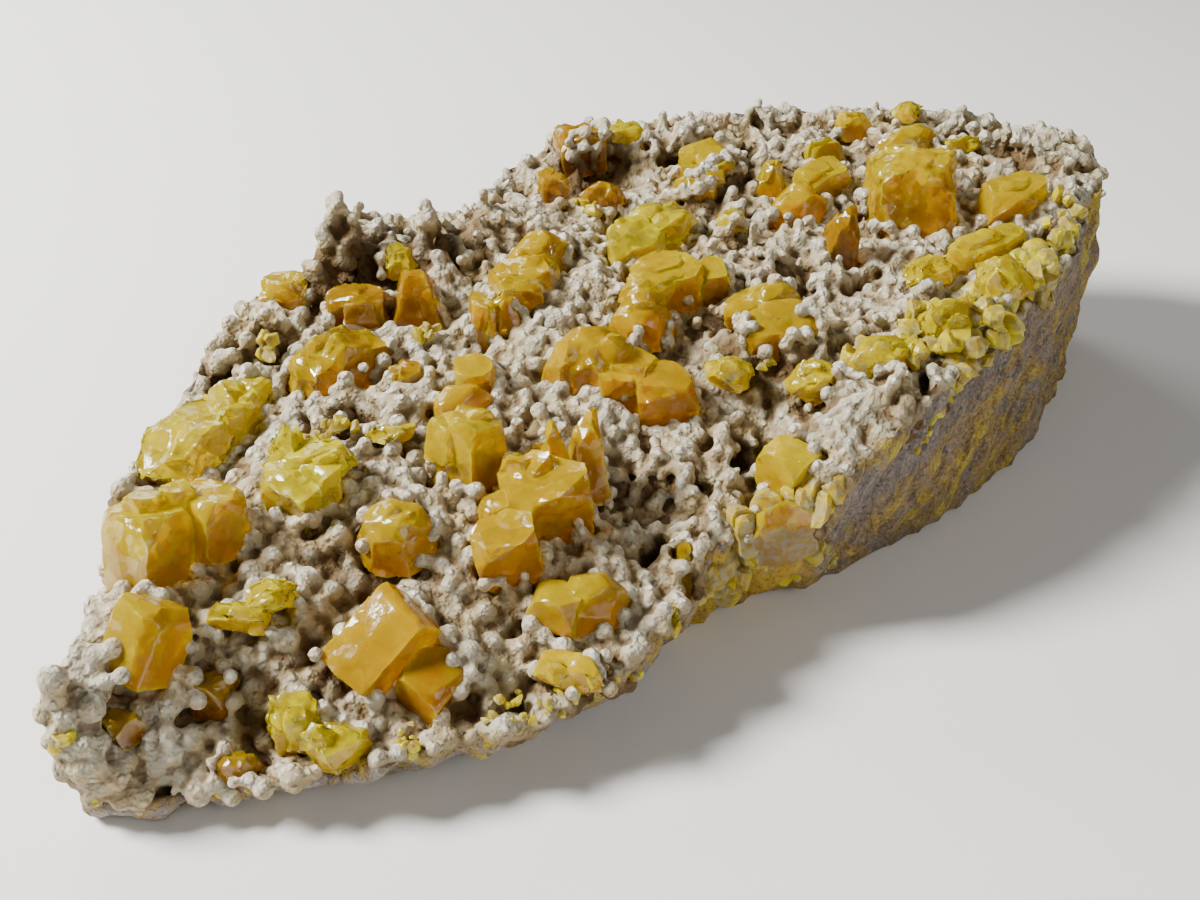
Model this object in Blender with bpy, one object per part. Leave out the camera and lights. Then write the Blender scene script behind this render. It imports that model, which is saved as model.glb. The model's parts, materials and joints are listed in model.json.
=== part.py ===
"""Native sulfur specimen: a slab of crusted rock with sulfur crystals grown in its hollows.

The long side of the slab lies along X and its thickness along Z. It rests on a flat broken
base at Z = 0, and the origin is the middle of its outer box, on the base. The tables are in
millimetres and MM turns them into Blender's metres.

The slab is one solid: a triangulated top with ridges, pits and lumps, sides that run down
from the rim to the foot, and the flat base. Each crystal, or each group that has grown
through one another, is a solid of its own. A crystal is a block cut by flat faces, and it
sits in a pocket that the same faces, moved out by SEAT_GAP, cut in the slab.
"""
import math
import random

import bmesh
import bpy
import numpy as np
from mathutils import Matrix, Vector, noise
from mathutils.geometry import delaunay_2d_cdt

MM = 0.001

# Driving dimensions of the slab
SLAB_HEIGHT = 33.0          # height of the mean top surface at the middle
RISE_ALONG = 0.10           # the top climbs by this much per millimetre of X
RISE_ACROSS = 0.10          # and by this much per millimetre of Y
TOP_STEP = 4.0              # distance between points of the top surface
RIM_REACH = 17.0            # how far the rim's own height is felt inside the slab
SEAT_GAP = 0.3              # clearance between a crystal and its pocket
SEED = 21

# The top's own relief: noise waves per millimetre, and height
SWELL = (0.11, 2.0)
LUMPS = (0.43, 1.6)
POINT_JITTER = 0.5          # each point of the top is moved by up to this much

# The seat under a crystal: how far it lies below the crystal's middle, as a share of its
# height, and where the sunk ground ends and how fast it fades, in half widths
SEAT_DROP = 0.15
SEAT_EDGE = 0.8
SEAT_FADE = 0.5

# The sides: rows of points between the rim and the foot as shares of the height, the
# outward bulge halfway down, how the undercut grows, and the steps and grain of the break
SIDE_LEVELS = (0.14, 0.36, 0.66)
SIDE_BULGE = 1.2
UNDERCUT_CURVE = 1.6
SIDE_STEPS = (0.16, 1.4)
SIDE_GRAIN = (0.45, 0.8)
STEP_SLANT = 0.8            # the steps lean along X by this much per millimetre of height

# The crystals' faces: how far each face may turn and tilt in degrees, and its distance as
# a share of the habit's
FACE_TURN = 6
FACE_TILT = 5
FACE_REACH = (0.94, 1.04)
BLANK = 90.0                # side of the cube that each crystal is cut from
SMALLEST_EDGE = 0.02        # corners closer than this become one

# The rim, all the way round from the left tip: x, y, height, and how far the foot of the
# side stands inside the rim (outside it where the number is negative)
RIM = (
    (-98, -5, 22, 1), (-96, -12, 9, 3), (-88, -17, 7, 6), (-81, -23, 8, 8), (-70, -31, 10, 10),
    (-56, -38, 11, 11), (-45, -43, 13, 12), (-35, -44, 16, 11), (-26, -40, 17, 7), (-18, -38, 18, 5),
    (-8, -38, 19, 4), (-1, -41, 21, 5), (5, -45, 26, 6), (16, -45, 32, 4), (33, -43, 35, 1),
    (57, -40, 37, -1), (78, -33, 39, -1), (94, -26, 41, 0), (101, -14, 42, -1), (98, -2, 42, -2),
    (90, 8, 43, -2), (80, 18, 43, 0), (67, 29, 43, 2), (50, 36, 42, 3), (33, 48, 42, 4),
    (17, 44, 40, 4), (2, 41, 38, 4), (-14, 49, 38, 4), (-30, 46, 34, 4), (-41, 42, 32, 3),
    (-58, 32, 28, 2), (-72, 21, 26, 2), (-80, 10, 25, 2), (-91, 0, 23, 2))

# Crests of the crust: height over the mean surface, half width, and points along the crest
RIDGES = (
    (3.0, 4.0, ((-95, -7), (-91, -3), (-85, 0))),
    (2.0, 5.0, ((-52, 7), (-43, 2))),
    (2.5, 3.5, ((-56, -10), (-43, -11))),
    (2.5, 3.5, ((-46, -15), (-41, -22))),
    (3.0, 4.0, ((-24, -33), (-17, -35), (-8, -37))),
    (2.5, 4.5, ((2, -22), (-3, -30), (-9, -35))),
    (2.5, 3.5, ((9, -38), (22, -41))),
    (3.0, 4.5, ((-50, 32), (-38, 35))),
    (4.5, 4.0, ((-15, 46), (-18, 40), (-27, 36))),
    (4.5, 2.6, ((-8, 35), (-12, 27))),
    (3.0, 4.0, ((0, 32), (7, 31), (7, 19))),
    (3.0, 3.5, ((-9, 8), (-2, 8), (7, 9))),
    (2.5, 3.0, ((-20, 2), (-6, 5))),
    (3.0, 4.5, ((39, 34), (51, 31), (64, 24))),
    (4.0, 2.6, ((64, 16), (57, 9))),
    (3.5, 4.0, ((23, -5), (37, -6))),
    (4.5, 4.0, ((86, -18), (96, -18))),
    (2.5, 4.0, ((84, -8), (90, -4))),
    (3.0, 3.5, ((68, -25), (72, -31))),
    (2.5, 3.5, ((-42, -37), (-34, -40))),
    (2.5, 3.5, ((-74, -14), (-63, -17))),
    (4.0, 4.5, ((-88, -11), (-83, -14))),
    (2.5, 3.0, ((-52, -27), (-46, -27))),
    (2.5, 3.5, ((-49, -31), (-53, -35))),
    (2.0, 4.0, ((-24, -7), (-19, -17))),
    (2.5, 3.0, ((-15, -23), (-9, -28))),
    (2.5, 4.0, ((-38, 8), (-26, 8))),
    (2.5, 4.0, ((7, -42), (16, -42))),
    (3.0, 4.0, ((-46, 27), (-38, 31))))

# Hollows between the crests: x, y, radius, depth
HOLLOWS = (
    (-75, -16, 5.0, 5.0), (-57, -15, 5.5, 7.0), (-40, -31, 4.5, 5.0), (6, -12, 4.5, 6.0),
    (-16, -24, 5.5, 6.0), (-48, -35, 3.0, 4.0), (4, -29, 6.0, 6.0), (30, 35, 3.5, 4.0),
    (-54, 1, 3.5, 6.0), (54, -10, 3.5, 5.0), (0, -18, 5.0, 5.0), (73, -24, 3.5, 5.0),
    (-43, -20, 3.5, 4.0), (-69, 1, 4.0, 4.0), (7, -2, 4.0, 5.0), (-30, 17, 4.0, 3.0))

# Faces of each habit in its own frame, before it is stretched to size: azimuth of the face
# normal, its tilt from upright, and its distance from the middle (1 is half the size)
SIDES = ((0, 90, 1.0), (90, 90, 1.0), (180, 90, 1.0), (270, 90, 1.0))
ENDS = ((0, 0, 1.0), (0, 180, 1.0))
HABITS = {
    "block": SIDES + ENDS + ((45, 52, 1.38), (225, 50, 1.34), (315, 60, 1.42), (135, 58, 1.45),
                             (200, 120, 1.40)),
    "great": SIDES + ENDS + ((45, 50, 1.22), (225, 44, 1.16), (315, 60, 1.26), (135, 56, 1.30),
                             (270, 30, 1.06), (250, 84, 1.12), (200, 116, 1.30)),
    "slab": SIDES + ENDS + ((270, 45, 1.22), (228, 84, 1.36), (0, 45, 1.36), (90, 120, 1.3)),
    "gem": tuple((az, 78, 0.98) for az in (20, 75, 130, 195, 250, 310))
    + tuple((az, 42, 0.92) for az in (0, 70, 150, 215, 290)) + ((230, 8, 0.86), (0, 180, 1.0)),
    "pyramid": tuple((az, 68, 0.80) for az in (45, 135, 225, 315))
    + ((225, 35, 1.08), (45, 30, 1.12), (0, 180, 0.9)),
    "wedge": ((0, 80, 0.9), (180, 80, 0.9), (90, 52, 0.62), (270, 60, 0.66), (0, 180, 1.0),
              (205, 40, 0.95)),
    "shard": ((10, 82, 0.8), (95, 74, 0.8), (185, 84, 0.8), (275, 76, 0.8), (140, 45, 1.0),
              (320, 50, 0.95), (230, 30, 1.05), (0, 180, 1.0)),
    "cup": ((10, 104, 0.86), (100, 106, 0.86), (190, 106, 0.86), (280, 104, 0.86), (240, 10, 0.80),
            (0, 180, 1.0), (60, 60, 1.25), (150, 58, 1.25)),
}

# A rough, half dissolved lump: number of faces, how far each may turn and tilt in degrees,
# and its distance
LUMP_FACES = 14
LUMP_TURN = 18
LUMP_TILT = 8
LUMP_REACH = (0.78, 1.0)
GOLDEN_ANGLE = 137.5

# Crystals: group, x, y, height of the middle over the mean top surface, sizes, the azimuth
# that the first size points along, the azimuth and angle of the lean, and the habit.
# Rows with the same group have grown through one another and are one solid.
CRYSTALS = (
    ("left_block", -84, -6, 1, (7, 8, 11), 15, 15, 30, "block"),
    ("left_twins", -77, 5, 1, (9, 9, 12), 25, 40, 15, "block"),
    ("left_twins", -68, 4, 1, (8, 8, 9), 10, 30, 12, "block"),
    ("left_star", -56, 1, -1, (9, 9, 13), 8, 228, 4, "cup"),
    ("left_star", -52, 1, 3, (9, 4, 5), 335, 150, 10, "block"),
    ("left_star", -55, 5, 3, (3, 5, 8), 20, 60, 10, "shard"),
    ("left_patch", -73, -10, 1, (8, 3, 3), 310, 228, 10, "block"),
    ("left_patch", -68, -10, 0, (8, 6, 6), 330, 228, 10, "lump"),
    ("left_amber", -79, -12, -1, (5, 5, 6), 30, 0, 0, "block"),
    ("tip_amber", -90, -9, -1, (4, 4, 5), 0, 228, 10, "block"),
    ("corner_amber", -81, -20, -1, (6, 5, 6), 330, 228, 20, "gem"),
    ("corner_lumps", -73, -22, 0, (6, 6, 8), 320, 228, 15, "block"),
    ("corner_lumps", -71, -28, 0, (8, 7, 9), 345, 228, 22, "lump"),
    ("front_tablet", -60, -23, 1, (13, 8, 7), 0, 200, 40, "slab"),
    ("front_tablet", -57, -29, -1, (8, 7, 7), 20, 270, 20, "block"),
    ("streaked_gem", -50, -13, 0, (9, 8, 9), 330, 228, 14, "gem"),
    ("bright_block", -35, -10, 0, (8, 8, 14), 12, 30, 10, "block"),
    ("middle_group", -31, -22, 0, (11, 8, 11), 335, 210, 12, "block"),
    ("middle_group", -40, -24, -1, (9, 7, 9), 335, 200, 18, "block"),
    ("middle_group", -33, -18, 2, (3, 4, 7), 20, 0, 0, "block"),
    ("middle_group", -22, -20, 1, (6, 6, 12), 330, 48, 8, "shard"),
    ("middle_olive", -26, -15, 0, (4, 4, 4), 330, 0, 0, "gem"),
    ("front_gem", -35, -35, 0, (9, 7, 8), 345, 228, 12, "gem"),
    ("front_gem", -39, -33, -1, (5, 7, 6), 20, 0, 0, "block"),
    ("front_rhomb", -43, -40, 0, (9, 6, 7), 300, 228, 20, "lump"),
    ("edge_blade", -20, -38, -1, (3, 3, 9), 318, 48, 14, "block"),
    ("edge_lemon", -27, -42, -2, (3, 4, 7), 318, 48, 14, "lump"),
    ("side_crystal", 2, -37, 0, (7, 7, 9), 355, 240, 10, "block"),
    ("side_crystal", -4, -41, -3, (12, 7, 11), 340, 0, 0, "lump"),
    ("glassy_pyramid", -20, 23, 0, (8, 8, 11), 5, 0, 0, "pyramid"),
    ("back_olive", -27, 29, 0, (9, 5, 7), 325, 0, 0, "block"),
    ("back_rough", -36, 21, 0, (14, 9, 9), 345, 228, 14, "gem"),
    ("back_edge_crystal", -33, 40, 0, (7, 6, 7), 320, 0, 0, "block"),
    ("small_amber", -31, 10, -1, (5, 5, 7), 330, 0, 0, "block"),
    ("back_row", -15, 13, 0, (3, 6, 8), 330, 0, 0, "block"),
    ("back_row", -11, 12, 0, (5, 5, 8), 345, 0, 0, "wedge"),
    ("back_row", -5, 15, 0, (9, 7, 8), 335, 228, 8, "block"),
    ("back_row", 2, 19, 1, (10, 7, 9), 350, 228, 12, "gem"),
    ("lemon_row", 16, 11, 0, (9, 7, 7), 335, 228, 15, "block"),
    ("lemon_row", 24, 13, 0, (11, 7, 8), 350, 228, 10, "gem"),
    ("centre_gem", -8, -5, 0, (12, 10, 11), 340, 228, 12, "gem"),
    ("centre_gem", -5, -11, -2, (7, 7, 8), 20, 0, 0, "block"),
    ("centre_gem", -3, -16, -2, (9, 7, 8), 325, 228, 14, "block"),
    ("striated_group", 4, -3, 0, (9, 7, 7), 345, 228, 18, "gem"),
    ("striated_group", 12, 0, 0, (11, 8, 9), 350, 228, 18, "block"),
    ("striated_group", 19, -4, 0, (5, 5, 7), 330, 228, 20, "block"),
    ("cream_cap", -24, 3, 0, (6, 5, 6), 330, 228, 18, "block"),
    ("cream_cap", -29, 0, 0, (8, 6, 5), 340, 228, 22, "gem"),
    ("lemon_strip", -41, 1, 1, (8, 4, 4), 330, 0, 0, "lump"),
    ("right_gem", 21, -14, 0, (10, 7, 7), 340, 228, 16, "gem"),
    ("right_gem", 17, -20, 0, (12, 7, 6), 335, 228, 12, "block"),
    ("right_lemon", 6, -21, 0, (8, 6, 6), 320, 228, 24, "lump"),
    ("right_lump", 13, -31, 0, (8, 7, 8), 335, 0, 0, "lump"),
    ("right_glassy", 22, -36, 0, (9, 7, 8), 345, 228, 12, "gem"),
    ("edge_strips", 35, -38, 0, (12, 7, 8), 350, 0, 0, "lump"),
    ("edge_rough", 50, -37, 0, (12, 9, 8), 20, 0, 0, "lump"),
    ("right_fan", 45, -27, 0, (10, 7, 7), 345, 228, 14, "lump"),
    ("right_slab", 58, -29, -1, (14, 5, 5), 350, 228, 10, "block"),
    ("striated_prism", 71, -24, 0, (10, 7, 8), 330, 228, 14, "block"),
    ("great_block", 60, -11, 1, (15, 11, 16), 322, 48, 12, "great"),
    ("tall_amber", 41, -12, 0, (7, 6, 12), 320, 228, 10, "shard"),
    ("right_cream", 45, 1, 0, (10, 6, 6), 345, 228, 12, "gem"),
    ("right_cream", 54, 3, 0, (9, 6, 7), 345, 228, 10, "block"),
    ("right_wedge", 61, 9, 0, (7, 5, 7), 335, 228, 14, "wedge"),
    ("right_point", 48, 10, 0, (6, 5, 6), 350, 0, 0, "pyramid"),
    ("right_small", 33, 5, 0, (5, 4, 4), 340, 228, 10, "block"),
    ("far_glossy", 75, 1, 0, (11, 6, 7), 345, 228, 16, "gem"),
    ("far_yellow", 72, 12, 0, (6, 5, 5), 330, 0, 0, "block"),
    ("far_olive", 83, 8, 0, (7, 5, 5), 320, 0, 0, "lump"),
    ("far_patch", 82, -6, 0, (8, 5, 5), 330, 0, 0, "lump"),
    ("back_amber", 42, 20, 0, (10, 7, 7), 335, 228, 16, "block"),
    ("back_amber", 37, 17, -1, (8, 7, 7), 330, 0, 0, "lump"),
    ("rear_olive", 29, 39, 0, (9, 7, 8), 330, 0, 0, "block"),
    ("rear_lemon", 38, 37, 0, (6, 5, 5), 330, 0, 0, "block"),
    ("rear_small", 17, 33, 0, (5, 5, 6), 330, 0, 0, "block"),
    ("rear_amber", 23, 27, -1, (8, 5, 6), 335, 228, 12, "gem"),
    ("pale_rough", -16, 33, 1, (7, 6, 6), 330, 0, 0, "lump"),
    ("left_back_mass", -60, 25, -3, (20, 14, 12), 45, 0, 0, "lump"),
    ("left_back_mass", -51, 27, -3, (13, 9, 9), 30, 0, 0, "lump"),
)

# The sulfur's tones. What isn't named here is honey.
LEMON = ("left_star", "left_patch", "corner_lumps", "front_rhomb", "edge_lemon", "lemon_row",
         "lemon_strip", "right_lemon", "right_lump", "right_glassy", "edge_strips", "edge_rough",
         "right_fan", "right_slab", "right_small", "far_olive", "far_patch", "rear_lemon",
         "pale_rough", "left_back_mass")
AMBER = ("left_amber", "tip_amber", "corner_amber", "middle_olive", "edge_blade",
         "glassy_pyramid", "back_olive", "small_amber", "tall_amber", "rear_olive",
         "rear_small", "rear_amber")

# Material name: colour and roughness
MATERIALS = {
    "matrix": ((0.46, 0.43, 0.38, 1.0), 0.80),
    "sulfur_honey": ((0.83, 0.55, 0.04, 1.0), 0.30),
    "sulfur_lemon": ((0.80, 0.70, 0.10, 1.0), 0.45),
    "sulfur_amber": ((0.58, 0.31, 0.02, 1.0), 0.25),
}


def clear_scene():
    for leftover in list(bpy.data.objects):
        bpy.data.objects.remove(leftover, do_unlink=True)


def make_material(name):
    colour, roughness = MATERIALS[name]
    material = bpy.data.materials.new(name)
    material.use_nodes = True
    shader = material.node_tree.nodes["Principled BSDF"]
    shader.inputs["Base Color"].default_value = colour
    shader.inputs["Roughness"].default_value = roughness
    shader.inputs["Metallic"].default_value = 0.0
    material.diffuse_color = colour
    return material


def add_object(name, shape, material, collection):
    """Turn a bmesh in millimetres into a named object in metres."""
    bmesh.ops.scale(shape, vec=Vector((MM, MM, MM)), verts=shape.verts[:])
    bmesh.ops.recalc_face_normals(shape, faces=shape.faces[:])
    mesh = bpy.data.meshes.new(name)
    shape.to_mesh(mesh)
    shape.free()
    mesh.materials.append(material)
    part = bpy.data.objects.new(name, mesh)
    collection.objects.link(part)
    return part


def mark_as_cutter(part):
    part.hide_render = True
    part.display_type = "WIRE"


# The slab's outline and height


def plane(x, y):
    return SLAB_HEIGHT + RISE_ALONG * x + RISE_ACROSS * y


def mean_top(x, y, rim):
    """The tilted plane of the top, pulled to the rim's own height near the rim: the rim's
    points weigh by the inverse fourth power of their distance."""
    away = np.hypot(x[:, None] - rim[None, :, 0], y[:, None] - rim[None, :, 1])
    pull = 1.0 / (away ** 2 + 1.0) ** 2
    offset = (pull * (rim[:, 2] - plane(rim[:, 0], rim[:, 1]))).sum(1) / pull.sum(1)
    return plane(x, y) + offset * np.exp(-(away.min(1) / RIM_REACH) ** 2)


def rim_points():
    """Walk the rim's smooth closed curve (Catmull-Rom) in steps of about TOP_STEP."""
    stations = np.array(RIM, dtype=float)
    count = len(stations)
    points = []
    for index in range(count):
        before, start, end, after = (stations[(index + k) % count] for k in (-1, 0, 1, 2))
        steps = max(1, round(math.dist(start[:2], end[:2]) / TOP_STEP))
        for step in range(steps):
            t = step / steps
            points.append(0.5 * (2 * start + (end - before) * t
                                 + (2 * before - 5 * start + 4 * end - after) * t ** 2
                                 + (3 * start - before - 3 * end + after) * t ** 3))
    return np.array(points)


def distance_to_path(x, y, path):
    """Distance from each point to a path of straight stretches."""
    nearest = np.full(np.shape(x), np.inf)
    for (x0, y0), (x1, y1) in zip(path, path[1:]):
        run = (x1 - x0) ** 2 + (y1 - y0) ** 2
        t = np.clip(((x - x0) * (x1 - x0) + (y - y0) * (y1 - y0)) / run, 0.0, 1.0)
        nearest = np.minimum(nearest, np.hypot(x - x0 - t * (x1 - x0), y - y0 - t * (y1 - y0)))
    return nearest


def ground(x, y, rim, middles):
    """Height of the crusted top at each point: the mean top with crests added, hollows
    taken away, and sunk where a crystal sits, a little below the crystal's middle."""
    level = mean_top(x, y, rim)
    for height, width, path in RIDGES:
        level = level + height * np.exp(-(distance_to_path(x, y, path) / width) ** 2)
    for hx, hy, radius, depth in HOLLOWS:
        level = level - depth * np.exp(-(np.hypot(x - hx, y - hy) / radius) ** 2)
    for (_, _, _, _, (a, b, c), *_), (cx, cy, cz) in zip(CRYSTALS, middles):
        seat = cz - SEAT_DROP * c
        half_widths = np.hypot(x - cx, y - cy) / (0.5 * max(a, b))
        reach = np.clip((half_widths - SEAT_EDGE) / SEAT_FADE, 0.0, 1.0)
        hold = 1.0 - reach * reach * (3.0 - 2.0 * reach)
        level = level * (1.0 - hold) + np.minimum(level, seat) * hold
    return level


def inside(x, y, loop):
    """True for each point inside a closed loop, by counting the crossings to its right."""
    odd = np.zeros(x.shape, dtype=bool)
    ends = np.roll(loop, -1, axis=0)
    for (x0, y0), (x1, y1) in zip(loop[:, :2], ends[:, :2]):
        crosses = (y0 > y) != (y1 > y)
        if y0 != y1:
            odd ^= crosses & (x < x0 + (y - y0) * (x1 - x0) / (y1 - y0))
    return odd


def relief(waves, x, y, z):
    """Smooth noise between minus and plus its height, at a point in millimetres."""
    frequency, height = waves
    return noise.noise(Vector((x, y, z)) * frequency) * height


def top_points(rim):
    """Points in the rim on a net of even triangles, each a little off its place."""
    rng = random.Random(SEED)
    rows = np.arange(rim[:, 1].min(), rim[:, 1].max(), TOP_STEP * math.sqrt(3) / 2)
    columns = np.arange(rim[:, 0].min(), rim[:, 0].max(), TOP_STEP)
    x, y = np.meshgrid(columns, rows)
    x = x + (np.arange(len(rows)) % 2)[:, None] * TOP_STEP / 2
    jitter = [rng.uniform(-POINT_JITTER, POINT_JITTER) for _ in range(2 * x.size)]
    x, y = (x.ravel(), y.ravel()) + np.array(jitter).reshape(2, -1)
    from_rim = np.hypot(x[:, None] - rim[:, 0], y[:, None] - rim[:, 1]).min(1)
    keep = inside(x, y, rim) & (from_rim > 0.7 * TOP_STEP)
    return x[keep], y[keep]


def slab_shape(rim, middles):
    """The slab as one closed bmesh in millimetres."""
    x, y = top_points(rim)
    z = ground(x, y, rim, middles)
    flat = [Vector(point[:2]) for point in rim] + [Vector(point) for point in zip(x, y)]
    loop = [(k, (k + 1) % len(rim)) for k in range(len(rim))]
    _, _, triangles, *_ = delaunay_2d_cdt(flat, loop, [], 1, 1e-6)

    slab = bmesh.new()
    top = [slab.verts.new((px, py, pz)) for px, py, pz, _ in rim]
    for place in zip(x, y, z):
        rise = relief(SWELL, *place) + relief(LUMPS, *place)
        top.append(slab.verts.new((place[0], place[1], place[2] + rise)))
    for triangle in triangles:
        slab.faces.new([top[k] for k in triangle])

    upper = top[:len(rim)]
    for level in SIDE_LEVELS + (1.0,):
        lower = [slab.verts.new(side_point(rim, k, level)) for k in range(len(rim))]
        for k in range(len(rim)):
            following = (k + 1) % len(rim)
            corners = (upper[k], upper[following], lower[following], lower[k])
            side = slab.faces.new(corners)
            bmesh.ops.triangulate(slab, faces=[side])
        upper = lower
    slab.faces.new(upper)
    return slab


def side_point(rim, k, level):
    """A point of the side under rim point k: level 0 is the rim and level 1 the foot."""
    x, y, height, undercut = rim[k]
    along = rim[(k + 2) % len(rim), :2] - rim[k - 2, :2]
    outward = np.array((along[1], -along[0])) / np.linalg.norm(along)
    z = height * (1.0 - level)
    shift = -undercut * level ** UNDERCUT_CURVE
    if level < 1.0:
        shift += SIDE_BULGE * math.sin(math.pi * level)
        shift += relief(SIDE_STEPS, x + STEP_SLANT * z, y, z) + relief(SIDE_GRAIN, x, y, z)
    return (x + outward[0] * shift, y + outward[1] * shift, z)


# Crystals


def direction(azimuth, tilt):
    azimuth, tilt = math.radians(azimuth), math.radians(tilt)
    return Vector((math.sin(tilt) * math.cos(azimuth), math.sin(tilt) * math.sin(azimuth),
                   math.cos(tilt)))


def lump_faces(rng):
    """Faces spread evenly over a ball (a golden-angle spiral), each a little off."""
    faces = []
    for k in range(LUMP_FACES):
        tilt = math.degrees(math.acos(1 - 2 * (k + 0.5) / LUMP_FACES))
        faces.append((GOLDEN_ANGLE * k + rng.uniform(-LUMP_TURN, LUMP_TURN),
                      tilt + rng.uniform(-LUMP_TILT, LUMP_TILT), rng.uniform(*LUMP_REACH)))
    return faces


def crystal_planes(row, rng):
    """The crystal's faces as (normal, distance) in millimetres, about its own middle."""
    _, _, _, _, sizes, azimuth, lean_azimuth, lean, habit = row
    faces = lump_faces(rng) if habit == "lump" else HABITS[habit]
    lean_axis = direction(lean_azimuth + 90, 90)
    turn = Matrix.Rotation(math.radians(lean), 3, lean_axis) @ Matrix.Rotation(
        math.radians(azimuth), 3, "Z")
    planes = []
    for face_azimuth, tilt, distance in faces:
        normal = direction(face_azimuth + rng.uniform(-FACE_TURN, FACE_TURN),
                           tilt + rng.uniform(-FACE_TILT, FACE_TILT))
        stretched = Vector([n / (0.5 * size) for n, size in zip(normal, sizes)])
        reach = distance * rng.uniform(*FACE_REACH) / stretched.length
        planes.append((turn @ stretched.normalized(), reach))
    return planes


def cleave(middle, planes, grow):
    """A convex solid: a large cube cut by each plane, moved out by grow."""
    solid = bmesh.new()
    bmesh.ops.create_cube(solid, size=BLANK)
    for normal, reach in planes:
        whole = solid.verts[:] + solid.edges[:] + solid.faces[:]
        cut = bmesh.ops.bisect_plane(solid, geom=whole, dist=1e-5, clear_outer=True,
                                     plane_co=normal * (reach + grow), plane_no=normal)
        edges = [item for item in cut["geom_cut"] if isinstance(item, bmesh.types.BMEdge)]
        if edges:
            bmesh.ops.contextual_create(solid, geom=edges)
    bmesh.ops.remove_doubles(solid, verts=solid.verts[:], dist=SMALLEST_EDGE)
    bmesh.ops.translate(solid, vec=middle, verts=solid.verts[:])
    return solid


def add_boolean(part, operation, cutters):
    cut = part.modifiers.new(operation.title(), "BOOLEAN")
    cut.operation = operation
    cut.operand_type = "COLLECTION"
    cut.collection = cutters
    cut.solver = "EXACT"


def new_collection(name):
    collection = bpy.data.collections.new(name)
    bpy.context.scene.collection.children.link(collection)
    return collection


def crystal_middles(rim):
    """Where each crystal's middle lies, in millimetres."""
    x, y, lift = np.array([row[1:4] for row in CRYSTALS], dtype=float).T
    return np.stack((x, y, mean_top(x, y, rim) + lift), axis=1)


def tone(group):
    if group in LEMON:
        return "sulfur_lemon"
    return "sulfur_amber" if group in AMBER else "sulfur_honey"


def build_crystals(materials, middles):
    """Make every crystal, and return the collection of their pockets."""
    rng = random.Random(SEED + 1)
    pockets = new_collection("pockets")
    crystals = {}
    for number, (row, place) in enumerate(zip(CRYSTALS, middles)):
        group, middle = row[0], Vector(place)
        material = materials[tone(group)]
        planes = crystal_planes(row, rng)
        pocket = cleave(middle, planes, SEAT_GAP)
        mark_as_cutter(add_object(f"pocket_{number}", pocket, material, pockets))
        shape = cleave(middle, planes, 0.0)
        if group not in crystals:
            main = bpy.context.scene.collection
            crystals[group] = add_object("sulfur_" + group, shape, material, main)
            continue
        partners = bpy.data.collections.get(group) or new_collection(group)
        mark_as_cutter(add_object(f"{group}_{number}", shape, material, partners))
    for group, crystal in crystals.items():
        if group in bpy.data.collections:
            add_boolean(crystal, "UNION", bpy.data.collections[group])
    return pockets


def settle():
    """Move everything so that the origin is the middle of the box, on the base."""
    meshes = [part.data for part in bpy.data.objects]
    shown = [part.data for part in bpy.data.objects if not part.hide_render]
    points = np.concatenate([[vertex.co for vertex in mesh.vertices] for mesh in shown])
    low, high = points.min(0), points.max(0)
    shift = Matrix.Translation((-(low[0] + high[0]) / 2, -(low[1] + high[1]) / 2, -low[2]))
    for mesh in meshes:
        mesh.transform(shift)
    print("box in mm", np.round((high - low) / MM, 1), "shift in mm",
          [round(value / MM, 2) for value in shift.translation])


def main():
    clear_scene()
    materials = {name: make_material(name) for name in MATERIALS}
    rim = rim_points()
    middles = crystal_middles(rim)
    pockets = build_crystals(materials, middles)
    slab = add_object("matrix", slab_shape(rim, middles), materials["matrix"],
                      bpy.context.scene.collection)
    add_boolean(slab, "DIFFERENCE", pockets)
    settle()


main()
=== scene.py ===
# %% [markdown]
# # Native sulfur on a crusted slab
#
# The specimen is a slab of rock with a crust of small round nodules, and sulfur crystals
# that stand in it. The solids give every crystal its place and its main faces, and the slab
# its outline. This script makes the fine surface: the nodules, the break of the sides, the
# worn faces of the crystals, and the finish of each. All is in metres, in the solids' frame.

# %% Load the frame
import json
import math

import bmesh
import bpy
import numpy as np
from mathutils import Matrix, Vector
from mathutils.bvhtree import BVHTree
from mathutils.kdtree import KDTree


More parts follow.
